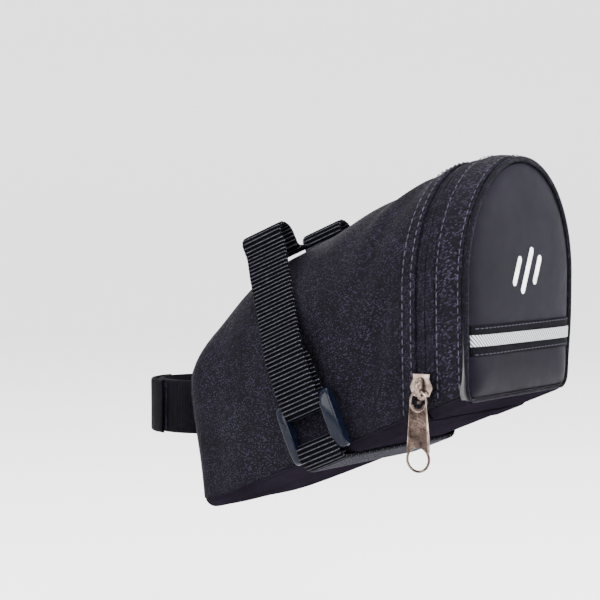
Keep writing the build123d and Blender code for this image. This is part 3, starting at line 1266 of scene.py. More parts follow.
    def hem(self) -> None:
        """The turned hem beside the zip, its two stitch rows and the strip under the hinge."""
        start = self.shape.zip + self.shape.tape_edge
        weft = Weft()
        profile = ((self.hem_wide, 0.05), (self.hem_wide - 0.4, 0.62), (self.hem_wide * 0.6, 0.8),
                   (0.9, 0.78), (0.1, 0.5), (0.0, -0.3))
        rows = [[tuple(self.shape.spot(start + y, -1 + 2 * j / 150, up)) for j in range(151)] for y,
                up in profile]
        weft.grid(rows)
        piece = weft.build("zip_hem", self.finishes.cloth)
        soften(piece)
        settle(piece, Body.BAG, "woven_polyester", "rim_binding")
        sewn = Weft()
        row = StitchRow(2.4, 0.9, 0.24)
        for offset in (1.5, self.hem_wide - 1.0):
            path = [self.shape.spot(start + offset, -0.99 + 1.98 * i / 160, 0.85) for i in range(161)]
            row.sew(sewn, path, self.shape.outward)
        settle(sewn.build("hem_stitches", self.finishes.thread), Body.BAG, "woven_polyester")
        strip = Weft()
        strip.grid(self.under_rows(start + self.hem_wide, self.shape.zip + 0.5, 6, 0.7))
        fold = strip.build("hinge_strip_skin", self.finishes.base)
        thicken(fold, 0.6)
        settle(fold, Body.BAG, "black_webbing", "hinge_strip")


def even_places(first: float, last: float, count: int) -> list[float]:
    """Evenly spaced numbers from first to last."""
    return [first + (last - first) * i / count for i in range(count + 1)]


def round_rings(path: Sequence[Vector], radius: float | Sequence[float], sides: int,
                closed: bool = False) -> list[list[Point]]:
    """Rings of a round tube along a path.

    Args:
        path: its middle line.
        radius: its radius, mm, or one for each point.
        sides: points in a ring.
        closed: the path is a loop.

    Returns:
        The rings.
    """
    rings, count = [], len(path)
    for i, centre in enumerate(path):
        thick = radius if isinstance(radius, float) else radius[i]
        before = path[i - 1] if i or closed else path[0]
        after = path[(i + 1) % count] if i < count - 1 or closed else path[-1]
        ahead = (after - before).normalized()
        side = ahead.cross(Vector((0, 1, 0))) if abs(ahead.y) < 0.8 else ahead.cross(Vector((0, 0, 1)))
        side.normalize()
        up = side.cross(ahead)
        angles = (math.tau * k / sides for k in range(sides))
        rings.append([tuple(centre + (side * math.cos(a) + up * math.sin(a)) * thick) for a in angles])
    return rings


@dataclass
class Zip:
    """The two tapes with their coils and end tabs, and the slider with its crown and pull; the stops keep their CAD
    shape.

    Attributes:
        shape: the bag's outline.
        finishes: the materials.
        tooth_pitch: distance between teeth, mm.
        pull_long: length of the pull, mm.
        pull_top: its width below the ring.
        pull_low: its width at the finger hole.
        hole: radius of the finger hole.
    """

    shape: BagShape
    finishes: Finishes
    tooth_pitch: float = 1.15
    pull_long: float = 30.4
    pull_top: float = 7.2
    pull_low: float = 9.9
    hole: float = 4.15

    def tape(self, side: int, name: str, body: Body, node: str) -> None:
        """One half of the tape, with its raised inner edge.

        Args:
            side: 1 for the body's half, -1 for the lid's.
            name: the piece's name.
            body: what it rides on.
            node: the CAD node it stands for.
        """
        profile = ((self.shape.tape_edge + 0.6, -0.55), (3.0, -0.35), (1.7, -0.3), (1.1, -0.05), (0.55, 0.0),
                   (0.12, -0.2), (0.1, -0.75))
        reach = self.shape.turn_at(self.shape.zip, self.shape.tape_low)
        rows = []
        for y, up in profile:
            rows.append([tuple(self.shape.spot(self.shape.zip + side * y, reach * (-1 + 2 * j / 170),
                                               up)) for j in range(171)])
        weft = Weft()
        weft.grid(rows)
        piece = weft.build(name, self.finishes.tape)
        thicken(piece, 0.35)
        settle(piece, body, "zip_tape", node)

    def end_tabs(self, side: int, body: Body) -> None:
        """The folded cloth that closes the corner below each end of the tape.

        Args:
            side: 1 for the body's half, -1 for the lid's.
            body: what it rides on.
        """
        reach = self.shape.turn_at(self.shape.zip, self.shape.tape_low)
        weft = Weft()
        for flank in (-1, 1):
            rows = []
            for y in even_places(0.25, self.shape.tape_edge + 0.8, 8):
                row = []
                for t in even_places(reach - 0.03, 1.0, 8):
                    crease = 0.35 * math.sin(y * 1.7 + t * 40.0) + 0.15
                    row.append(tuple(self.shape.spot(self.shape.zip + side * y, flank * t, crease)))
                rows.append(row)
            weft.grid(rows)
        piece = weft.build("body_end_tabs" if side > 0 else "lid_end_tabs", self.finishes.cloth)
        thicken(piece, 0.8)
        soften(piece)
        settle(piece, body, "woven_polyester")

    def coil(self, side: int, name: str, body: Body, node: str) -> None:
        """One half of the coil: a row of small loops inside the tape.

        Args:
            side: 1 for the body's half, -1 for the lid's.
            name: the piece's name.
            body: what it rides on.
            node: the CAD node it stands for.
        """
        reach = self.shape.turn_at(self.shape.zip, self.shape.tape_low)
        fine = [self.shape.spot(self.shape.zip, reach * (-1 + 2 * j / 400), -1.5) for j in range(401)]
        weft = Weft()
        shift = 0.0 if side > 0 else self.tooth_pitch / 2
        line = even_steps(fine, self.tooth_pitch)
        for first, second in zip(line, line[1:]):
            centre = first.lerp(second, 0.25 + shift / self.tooth_pitch)
            ahead = (second - first).normalized()
            out = self.shape.outward(centre).normalized()
            path = []
            for k in range(7):
                a = math.radians(-100 + 200 * k / 6)
                path.append(centre + Vector((0, side * 1.25, 0)) - Vector((0, side * math.cos(a) * 1.1,
                    0)) + out * math.sin(a) * 0.45)
            rings = []
            for spot in path:
                corners = ((-0.3, -0.22), (0.3, -0.22), (0.3, 0.22), (-0.3, 0.22))
                rings.append([tuple(spot + ahead * a + out * b) for a, b in corners])
            weft.tube(rings)
        settle(weft.build(name, self.finishes.coil), body, "coil_plastic", node)

    def slider(self) -> None:
        """The slider: a shield-shaped top plate with turned edges, a bottom plate, the neck and the crown."""
        low, high = (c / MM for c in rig.box("slider_body"))
        middle_z, half = (low.z + high.z) / 2, (high.z - low.z) / 2
        outline = [(-3.7, half), (3.7, half), (3.45, half * 0.6), (4.85, 0.1), (4.6, -0.9), (3.3, -half * 0.68)]
        outline += arc_points((0.0, -half + 1.9), 1.9, -20, -140, 10)
        outline += [(-3.3, -half * 0.68), (-4.6, -0.9), (-4.85, 0.1), (-3.45, half * 0.6)]
        seat = Matrix(((0, 0, -1, low.x + 0.65), (-1, 0, 0, self.shape.zip), (0, 1, 0, middle_z), (0, 0, 0, 1)))
        top = flat_plate("slider_top", [outline], 1.3, 0.45, seat, self.finishes.nickel)
        settle(top, Body.SLIDER, "nickel", "slider_body")
        inner_seat = seat.copy()
        inner_seat.translation.x = high.x - 0.65
        settle(flat_plate("slider_bottom", [outline], 1.1, 0.35, inner_seat, self.finishes.nickel),
               Body.SLIDER, "nickel")
        neck = Weft()
        x_mid, x_half = (low.x + high.x) / 2, (high.x - low.x) / 2 - 0.6
        rings = []
        for z in (low.z + 0.7, low.z + 1.0, low.z + 2.6, low.z + 3.0):
            wide = 0.38 if low.z + 0.8 < z < low.z + 2.8 else 0.2
            rings.append([(x_mid + sx * x_half, self.shape.zip + sy * wide, z) for sx,
                          sy in ((-1, -1), (1, -1), (1, 1), (-1, 1))])
        neck.tube(rings)
        settle(neck.build("slider_neck", self.finishes.nickel, smooth=False), Body.SLIDER, "nickel")
        self.crown(low.x)

    def crown(self, face_x: float) -> None:
        """The crown: a bowed strip over the top plate that holds the pull.

        Args:
            face_x: x of the top plate's outer face.
        """
        low, high = (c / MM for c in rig.box("slider_crown"))
        weft, rings = Weft(), []
        for i in range(17):
            share = i / 16
            a = math.pi * share
            bow = math.sin(a) ** 0.55
            z = high.z - 0.4 - (high.z - low.z - 0.8) * (0.5 - 0.5 * math.cos(a))
            x = face_x + 0.3 - (face_x + 0.3 - low.x - 0.55) * bow
            wide = 0.85 + 0.3 * math.sin(a)
            slope = Vector((math.cos(a) * 1.2, 0, math.sin(a) + 0.3)).normalized()
            rings.append([(x + slope.z * dx * 0.5, self.shape.zip + dy * wide, z + slope.x * dx * 0.5) for dx,
                          dy in ((-1, -1), (-1, 1), (1, 1), (1, -1))])
        weft.tube(rings)
        piece = weft.build("slider_crown_strip", self.finishes.nickel)
        soften(piece, 2)
        settle(piece, Body.SLIDER, "nickel", "slider_crown")

    def pull(self) -> None:
        """The pull: a round wire ring at the top, a cast tapering tab with a rolled rim, and a finger hole."""
        low, high = (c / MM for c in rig.box("pull_tab"))
        bar_x, top = (low.x + high.x) / 2, high.z
        seat = Matrix(((0, 0, -1, bar_x), (-1, 0, 0, self.shape.zip), (0, 1, 0, top), (0, 0, 0, 1)))
        ring_high, half_top, half_low = 8.0, self.pull_top / 2, self.pull_low / 2
        centre = (0.0, -self.pull_long + half_low)
        outline = [(-half_top + 0.15, -4.6),
                   *[(x * 0.9, y - 4.2) for x, y in arc_points((0, 0), half_top - 0.9, 200, 140, 16)],
                   (half_top - 0.15, -4.6)]
        outline += [(half_low * 0.93, centre[1] + 3.4), *arc_points(centre, half_low, 25, -230, 34),
                    (-half_low * 0.93, centre[1] + 3.4)]
        tab = flat_plate("pull_plate", [outline, arc_points(centre, self.hole, 0, 350, 36)], 0.9, 0.28, seat,
                         self.finishes.cast_nickel)
        settle(tab, Body.PULL, "nickel", "pull_tab")
        wire = Weft()
        ring = [seat @ Vector((half_top * 0.93 * math.sin(a),
                               -ring_high / 2 - 0.1 + (ring_high / 2 - 0.1) * math.cos(a),
                               0)) for a in (math.tau * i / 48 for i in range(48))]
        wire.tube(round_wire(ring, 0.48, 10), closed=True)
        rim = [(half_top - 0.25, -4.8), (half_low * 0.9, centre[1] + 3.2),
               *arc_points(centre, half_low - 0.32, 28, -236, 36), (-half_low * 0.9, centre[1] + 3.2),
               (-half_top + 0.25, -4.8)]
        edge = [seat @ Vector((x, y, 0.0)) for x, y in rim]
        wire.tube(round_wire(edge, 0.5, 8, False))
        # The ring and rolled rim take the darker nickel copy, painted shade on the same metal.
        settle(wire.build("pull_rim", self.finishes.shaded_rim_nickel), Body.PULL, "nickel")

    def dress(self) -> None:
        """Builds every piece of the zip."""
        self.tape(1, "body_tape", Body.BAG, "body_zip_tape")
        self.tape(-1, "lid_tape", Body.LID, "lid_zip_tape")
        self.end_tabs(1, Body.BAG)
        self.end_tabs(-1, Body.LID)
        self.coil(1, "body_coil_teeth", Body.BAG, "body_coil")
        self.coil(-1, "lid_coil_teeth", Body.LID, "lid_coil")
        self.slider()
        self.pull()


def round_wire(path: Sequence[Vector], radius: float, sides: int, closed: bool = True) -> list[list[Point]]:
    """Rings of a round wire whose path lies in a plane of constant x.

    Args:
        path: its middle line.
        radius: wire radius, mm.
        sides: points in a ring.
        closed: the path is a loop.

    Returns:
        The rings.
    """
    rings, count = [], len(path)
    out = Vector((1, 0, 0))
    for i, centre in enumerate(path):
        before = path[i - 1] if i or closed else path[0]
        after = path[(i + 1) % count] if i < count - 1 or closed else path[-1]
        side = (after - before).normalized().cross(out)
        angles = (math.tau * k / sides for k in range(sides))
        rings.append([tuple(centre + (side * math.cos(a) + out * math.sin(a)) * radius) for a in angles])
    return rings


@dataclass
class Lid:
    """The padded lid: gusset, sole, rolled edge, two rear panels, ribbon, stripe, mark and lining.

    Attributes:
        shape: the bag's outline.
        finishes: the materials.
        cloth: cloth thickness, mm.
        puff: how far the rear panel stands out, mm.
        inset: from the outline to the panel's edge, mm.
        piping: radius of the rolled edge, mm.
        split: height of the ribbon's middle, mm.
        ribbon_high: height of the ribbon, mm.
        stripe_high: height of the silver stripe, mm.
        heart: height of the point the crown spreads from, mm.
    """

    shape: BagShape
    finishes: Finishes
    cloth: float = 1.2
    puff: float = 3.4
    inset: float = 2.0
    piping: float = 1.15
    split: float = 34.0
    ribbon_high: float = 11.4
    stripe_high: float = 4.3
    heart: float = 54.0

    def gusset(self) -> None:
        """The woven strip between the zip and the rear panel, with its stitch row."""
        start, weft, rows = self.shape.zip - self.shape.tape_edge, Weft(), []
        for y in even_places(start, self.shape.rear + 0.3, 14):
            row = []
            for t in even_places(-1, 1, 150):
                share = (y - start) / (self.shape.rear - start)
                swell = 0.7 * math.sin(math.pi * share) + 0.35 * noise.noise(Vector((y * 0.2, t * 9.0, 2.0)))
                row.append(tuple(self.shape.spot(y, t, 0.1 + swell * min(1.0, (1 - abs(t)) * 12))))
            rows.append(row)
        weft.grid(rows)
        piece = weft.build("gusset_cloth", self.finishes.gusset)
        thicken(piece, self.cloth)
        soften(piece)
        settle(piece, Body.LID, "woven_polyester", "lid_gusset")
        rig.padded(piece, 0.5)
        sewn = Weft()
        for offset, long in ((1.2, 2.2), (10.2, 2.2)):
            path = [self.shape.spot(start - offset, -0.98 + 1.96 * i / 160, 0.62) for i in range(161)]
            StitchRow(long, 0.9, 0.22).sew(sewn, path, self.shape.outward)
        settle(sewn.build("gusset_stitches", self.finishes.thread), Body.LID, "woven_polyester")

    def sole(self) -> None:
        """The coated strip below the lid, behind the hinge."""
        places = [1 + j / 24 for j in range(25)] + [-2 + j / 24 for j in range(1, 25)]
        rows = [[tuple(self.shape.spot(y, t,
                                       0.12)) for t in places] for y in even_places(self.shape.zip - 0.2,
                                           self.shape.rear - 0.2, 8)]
        weft = Weft()
        weft.grid(rows)
        piece = weft.build("sole_skin", self.finishes.base)
        thicken(piece, self.cloth)
        soften(piece)
        settle(piece, Body.LID, "coated_pu", "lid_sole")
        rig.padded(piece, 0.4)

    def edge(self) -> None:
        """The rolled edge round the rear panel."""
        path = [self.shape.spot(self.shape.rear - 0.9, -2 + 4 * i / 220, -0.75) for i in range(220)]
        weft = Weft()
        thick = [self.piping * (0.55 + 0.45 * max(0.0,
                                                  min(1.0, (p.z - self.split + 12.0) / 16.0))) for p in path]
        weft.tube(round_rings(path, thick, 12, closed=True), closed=True)
        settle(weft.build("rolled_edge", self.finishes.piping), Body.LID, "woven_polyester", "lid_piping")

    def rim(self) -> list[Vector]:
        """The rear panel's edge as a closed loop."""
        return [self.shape.spot(self.shape.rear, -2 + 4 * i / 240, -self.inset) for i in range(240)]

    @lru_cache(maxsize=1)
    def reaches(self) -> list[float]:
        """Distance from the panel's heart to its edge, by angle in whole degrees."""
        rim = self.rim()
        found = []
        for degree in range(361):
            a = math.radians(degree)
            ray = Vector((math.cos(a), math.sin(a)))
            best = 0.0
            for p, q in zip(rim, rim[1:] + rim[:1]):
                first, second = Vector((p.x, p.z - self.heart)), Vector((q.x, q.z - self.heart))
                edge = second - first
                cross = ray.x * edge.y - ray.y * edge.x
                if abs(cross) < 1e-9:
                    continue
                reach = (first.x * edge.y - first.y * edge.x) / cross
                place = (first.x * ray.y - first.y * ray.x) / cross
                if reach > 0 and -1e-6 <= place <= 1 + 1e-6:
                    best = max(best, reach)
            found.append(best)
        return found

    def reach(self, angle: float) -> float:
        """Distance from the heart to the edge at an angle in radians."""
        degrees = math.degrees(angle) % 360.0
        whole = int(degrees)
        table = self.reaches()
        return table[whole] + (table[whole + 1] - table[whole]) * (degrees - whole)

    def skin_y(self, x: float, z: float) -> float:
        """The rear panel's y at a place on it: steep at the edge, gently crowned, dented under the ribbon.

        Args:
            x: across.
            z: up.

        Returns:
            The y of the surface.
        """
        away = Vector((x, z - self.heart))
        share = min(1.0, away.length / max(self.reach(math.atan2(away.y, away.x)), 1e-6))
        from_edge = (1.0 - share) * self.reach(math.atan2(away.y, away.x))
        height = self.puff * (1 - math.exp(-from_edge / 5.0)) * (0.86 + 0.14 * (1 - share * share))
        height += 0.28 * noise.noise(Vector((x * 0.045, z * 0.045, 5.0))) * (1 - share)
        pulled = math.exp(-(((z - self.split) / (self.ribbon_high * 0.72)) ** 4))
        height *= 1.0 - 0.2 * pulled
        return self.shape.rear - 0.7 - height

    def panel(self, name: str, upper: bool, material: bpy.types.Material, node: str) -> None:
        """One rear panel, cut from the puffed surface at the ribbon.

        Args:
            name: the piece's name.
            upper: the part above the ribbon's middle.
            material: its finish.
            node: the CAD node it stands for.
        """
        weft, rings = Weft(), []
        for share in (1.012, 1.0, 0.985, 0.96, 0.93, 0.89, 0.84, 0.78, 0.71, 0.63, 0.54, 0.45, 0.36, 0.27,
                      0.18, 0.09):
            ring = []
            for i in range(180):
                a = math.tau * i / 180
                reach = self.reach(a) * min(share, 1.0)
                x, z = reach * math.cos(a), self.heart + reach * math.sin(a)
                y = self.skin_y(x, z) if share <= 1.0 else self.shape.rear + 0.4
                ring.append((x, y, z))
            rings.append(ring)
        weft.grid(rings, ring=True)
        middle = len(weft.points)
        weft.points.append((0.0, self.skin_y(0.0, self.heart), self.heart))
        weft.lays.append((0.0, 0.0, 0.0))
        last = (len(rings) - 1) * 180
        weft.faces += [(last + i, last + (i + 1) % 180, middle) for i in range(180)]
        piece = weft.build(name, material)
        cut = bmesh.new()
        cut.from_mesh(piece.data)
        side = 1 if upper else -1
        everything = cut.verts[:] + cut.edges[:] + cut.faces[:]
        bmesh.ops.bisect_plane(cut, geom=everything, plane_co=(0, 0, self.split * MM), plane_no=(0, 0, -side),
                               clear_outer=True)
        cut.to_mesh(piece.data)
        cut.free()
        thicken(piece, 1.0, -1.0)
        settle(piece, Body.LID, "coated_pu", node)
        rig.padded(piece, 0.8)

    def band(self, name: str, high: float, lift: float, thick: float, material: bpy.types.Material, slot: str,
             node: str) -> None:
        """A band sewn across the panel.

        Args:
            name: the piece's name.
            high: its height, mm.
            lift: its face above the panel, mm.
            thick: its thickness, mm.
            material: its finish.
            slot: the record's material slot.
            node: the CAD node it stands for.
        """
        weft, rows, nominal_half = Weft(), [], 40.0
        for i in range(91):
            row = []
            for j in range(9):
                z = self.split + high * (j / 8 - 0.5) - 0.012 * (i - 45) * 0.6
                right = self.reach(math.atan2(z - self.heart, nominal_half)) * 0.985
                x = (-1 + i / 45) * math.sqrt(max(1.0, right * right - (z - self.heart) ** 2))
                tuck = 0.5 * max(0.0, abs(-1 + i / 45) - 0.97) / 0.03
                row.append((x, self.skin_y(x, z) - lift + tuck, z))
            rows.append(row)
        weft.grid(rows)
        piece = weft.build(name, material)
        thicken(piece, thick, -1.0)
        settle(piece, Body.LID, slot, node)

    def trims(self) -> None:
        """The ribbon, the silver stripe, their stitches and the printed mark."""
        self.band("ribbon", self.ribbon_high, 0.7, 0.6, self.finishes.ribbon, "black_webbing", "rear_ribbon")
        self.band("silver_stripe", self.stripe_high, 0.98, 0.25, self.finishes.silver, "reflective_tape",
                  "reflective_stripe")
        sewn = Weft()
        for z in (self.split - self.ribbon_high / 2 + 0.9, self.split + self.ribbon_high / 2 - 0.9):
            path = [Vector((x, self.skin_y(x, z) - 0.85, z)) for x in even_places(-38.0, 38.0, 80)]
            StitchRow(2.0, 0.8, 0.2).sew(sewn, path, lambda point: Vector((0, -1, 0)))
        settle(sewn.build("ribbon_stitches", self.finishes.thread), Body.LID, "black_webbing")
        self.mark()

    def mark(self) -> None:
        """A plain printed mark of three slanted bars."""
        weft = Weft()
        lean = math.radians(25.0)
        for place, long in ((-8.0, 12.0), (0.0, 19.0), (8.0, 12.0)):
            rows = []
            for i in range(25):
                along = -0.5 * long * math.cos(math.pi * i / 24)
                half = 1.45 * math.sqrt(max(0.02, 1 - max(0.0, (abs(along) - long / 2 + 1.45) / 1.45) ** 2))
                row = []
                for j in range(5):
                    across = (j / 2 - 1) * half
                    x = place + along * math.sin(lean) + across * math.cos(lean)
                    z = 59.0 + along * math.cos(lean) - across * math.sin(lean)
                    row.append((x, self.skin_y(x, z) - 0.16, z))
                rows.append(row)
            weft.grid(rows)
        piece = weft.build("printed_bars", self.finishes.print)
        thicken(piece, 0.12, -1.0)
        settle(piece, Body.LID, "white_print", "panel_mark")

    def inside(self) -> None:
        """The lid's lining over its foam."""
        weft, rings = Weft(), []
        for share, depth in ((1.0, 1.6), (0.985, 3.4), (0.95, 4.6), (0.85, 5.0), (0.6, 5.1), (0.3, 5.1),
                             (0.1, 5.1)):
            ring = []
            for i in range(120):
                edge = self.shape.spot(self.shape.rear + 1.5, -2 + 4 * i / 120, -1.4)
                ring.append((edge.x * share, self.shape.rear + depth,
                             self.heart + (edge.z - self.heart) * share))
            rings.append(ring)
        weft.grid(rings, ring=True)
        weft.cap((len(rings) - 1) * 120, 120)
        piece = weft.build("lid_lining", self.finishes.lining)
        settle(piece, Body.LID, "foam_lining", "lid_foam")
        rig.padded(piece, 0.7)

    def __hash__(self) -> int:
        """Lets the reach table be kept for this lid."""
        return id(self)

    def dress(self) -> None:
        """Builds every piece of the lid."""
        self.gusset()
        self.sole()
        self.edge()
        self.panel("upper_panel", True, self.finishes.panel, "rear_panel_upper")
        self.panel("lower_panel", False, self.finishes.coated, "rear_panel_lower")
        self.trims()
        self.inside()


STRAP_STEP = 1.67 / 5  # length of one row of the webbing mesh, five rows to a rib, mm


@dataclass
class Straps:
    """The rail straps, the strap under the base and the two buckles, in a plane square to the base.

    Attributes:
        shape: the bag's outline.
        finishes: the materials.
        wide: webbing width, mm.
        thick: webbing thickness, mm.
        pitch: rib pitch, mm.
        foot_y: y where the straps' plane meets the base, mm.
        lean: tilt of that plane.
        ring: half of the buckle's ring, mm.
        rail_x: the rails' distance from the middle, mm.
        rail_up: their height in the straps' plane, mm.
        turn: radius of the webbing round a bar, mm.
        low_bar: height of the buckle's lower bar, mm.
        high_bar: height of its upper bar, mm.
        drift: how far the strap leans forwards for each millimetre it climbs.
    """

    shape: BagShape
    finishes: Finishes
    wide: float = 19.4
    thick: float = 1.25
    pitch: float = 1.67
    foot_y: float = -88.0
    lean: float = math.radians(22.5)
    ring: float = 4.2
    rail_x: float = 22.0
    rail_up: float = 92.0
    turn: float = 2.25
    low_bar: float = 6.5
    high_bar: float = 22.0
    drift: float = 0.06

    def __post_init__(self) -> None:
        """Takes the side clearance from the buckle's place in the frame."""
        low, high = (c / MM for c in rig.box("buckle_right"))
        self.bar_x = (low.x + high.x) / 2
        self.inner_x, self.outer_x = self.bar_x - self.turn, self.bar_x + self.turn
        self.foot = Vector((0.0, self.foot_y, self.shape.base(self.foot_y)))
        self.up = Vector((0.0, math.sin(self.lean), math.cos(self.lean)))
        self.back = Vector((0.0, -math.cos(self.lean), math.sin(self.lean)))

    def place(self, x: float, up: float, along: float, hug: float = 1.0) -> Point:
        """A point of the strap plane in the frame, leaning in where the bag gets narrower.

        Args:
            x: across the bag.
            up: above the base.
            along: towards the rear, from the strap's middle.
            hug: how much of the bag's taper it follows.

        Returns:
            The point.
        """
        taper = 0.085 * (self.wide / 2 - along) * hug * max(0.0, min(1.0, (abs(x) - 30.0) / 8.0))
        drift = self.drift * max(0.0, up - 15.0)
        return tuple(self.foot + self.up * up + self.back * (along - drift) + Vector((x - math.copysign(taper,
            x), 0, 0)))

    def webbing(self, route: Sequence[Vector], name: str, nodes: Sequence[str]) -> None:
        """A ribbed strap along a route.

        Args:
            route: finely spaced points of the strap plane.
            name: the piece's name.
            nodes: the CAD nodes it stands for.
        """
        weft, rings, distance = Weft(), [], 0.0
        across = (-1.0, -0.97, -0.8, -0.5, -0.17, 0.17, 0.5, 0.8, 0.97, 1.0)
        for i, spot in enumerate(route):
            before, after = route[max(0, i - 1)], route[min(len(route) - 1, i + 1)]
            ahead = (after - before).normalized()
            normal = Vector((-ahead.y, ahead.x))
            if i:
                distance += (spot - route[i - 1]).length
            rib = 0.17 * math.cos(math.tau * distance / self.pitch)
            ring = []
            for face in (1, -1):
                for share in across if face > 0 else across[::-1]:
                    thin = 0.35 if abs(share) > 0.98 else (0.85 if abs(share) > 0.9 else 1.0)
                    flat = spot + normal * face * (self.thick / 2 * thin + rib * thin)
                    ring.append(self.place(flat.x, flat.y, share * self.wide / 2))
            rings.append(ring)
        weft.tube(rings)
        count = len(rings[0])
        for number in range(len(weft.points)):
            row, column = divmod(number, count)
            weft.lays[number] = (row * STRAP_STEP,
                                 across[column if column < 10 else 19 - column] * self.wide / 2, 0.0)
        piece = weft.build(name, self.finishes.webbing)
        settle(piece, Body.BAG, "black_webbing", *nodes)

    def rail_strap(self, side: Side) -> None:
        """From the bag's top over the rail, down the side and round the buckle's upper bar.

        Args:
            side: which side of the bag.
        """
        top, patch = self.rail_up + self.ring, self.rail_up - 6.2
        points = [
            (self.rail_x - self.ring - 8.0, patch),
            (self.rail_x - self.ring, patch),
            (self.rail_x - self.ring, top),
            (self.rail_x + self.ring, top),
            (self.rail_x + self.ring, self.rail_up - 4.0),
            (self.inner_x + 2.3, 46.0),
            (self.outer_x, self.high_bar + 8.0),
            (self.outer_x, self.high_bar - self.turn),
            (self.inner_x, self.high_bar - self.turn),
            (self.inner_x, 43.0),
        ]
        near = 0.999
        radii = [2.0, near * self.ring, near * self.ring, 8.0, 30.0, 10.0, near * self.turn, near * self.turn]
        route = rounded_route([(side.value * x, up) for x, up in points], radii, STRAP_STEP)
        name = side.name.lower()
        self.webbing(route, f"rail_webbing_{name}", [f"rail_strap_{name}"])
        self.tacks(side)

    def tacks(self, side: Side) -> None:
        """A boxed row of stitches where the strap is sewn to the bag's top."""
        sewn = Weft()
        for along in (-7.5, 7.5):
            x_from, x_to = side.value * 10.2, side.value * 16.5
            up = self.rail_up - 6.2 + self.thick / 2 + 0.2
            path = [Vector(self.place(x, up, along, 0.0)) for x in even_places(x_from, x_to, 12)]
            StitchRow(1.7, 0.5, 0.22).sew(sewn, path, lambda point: Vector((0, 0.38, 0.92)))
        settle(sewn.build(f"strap_tack_{side.name.lower()}", self.finishes.thread), Body.BAG, "black_webbing")

    def base_strap(self) -> None:
        """Under the base, from one buckle's lower bar to the other's."""
        under = -0.35 - 0.65
        start = [(-self.inner_x, 1.0), (-self.inner_x, self.low_bar + self.turn),
                 (-self.outer_x, self.low_bar + self.turn), (-self.outer_x, under)]
        points = start + [(-x, up) for x, up in reversed(start)]
        near = 0.999 * self.turn
        self.webbing(rounded_route(points, [near, near, 6.0, 6.0, near, near], STRAP_STEP), "base_webbing",
                     ["base_strap"])

    def buckle(self, side: Side) -> None:
        """A glossy ladder-lock: two bowed side rails and two round cross bars.

        Args:
            side: which side of the bag.
        """
        weft = Weft()
        middle, half_long, half_wide = (self.low_bar + self.high_bar) / 2, 12.0, 12.7
        for rail in (-1, 1):
            rings = []
            for step, scale in ((-1.0, 0.72), (-0.82, 0.93), (-0.45, 1.0), (0.45, 1.0), (0.82, 0.93),
                                (1.0, 0.72)):
                along = rail * (half_wide - 1.6) + step * (2.0 if rail < 0 else 2.8)
                ring = []
                for i in range(28):
                    a = math.tau * i / 28
                    c, s = math.cos(a), math.sin(a)
                    x = math.copysign(abs(c) ** 0.7, c) * 2.7 * (0.5 + 0.5 * scale)
                    up = math.copysign(abs(s) ** 0.55, s) * (half_long - 0.9 * (1 - scale) * 3.0)
                    bow = 0.75 * (up / half_long) ** 2
                    ring.append(self.place(side.value * (self.bar_x + x + 0.6 - bow), middle + up, along))
                rings.append(ring)
            weft.tube(rings)
        for up in (self.low_bar, self.high_bar):
            rings = []
            for along in even_places(-half_wide + 1.5, half_wide - 1.5, 10):
                ring = []
                for x, z in arc_points((0.0, 0.0), 1.4, 0, 330, 12):
                    ring.append(self.place(side.value * (self.bar_x + x), up + z, along))
                rings.append(ring)
            weft.tube(rings)
        name = side.name.lower()
        piece = weft.build(f"ladder_lock_{name}", self.finishes.plastic)
        soften(piece)
        settle(piece, Body.BAG, "black_plastic", f"buckle_{name}")

    def dress(self) -> None:
        """Builds both sides and the strap under the base."""
        for side in Side:
            self.rail_strap(side)
            self.buckle(side)
        self.base_strap()


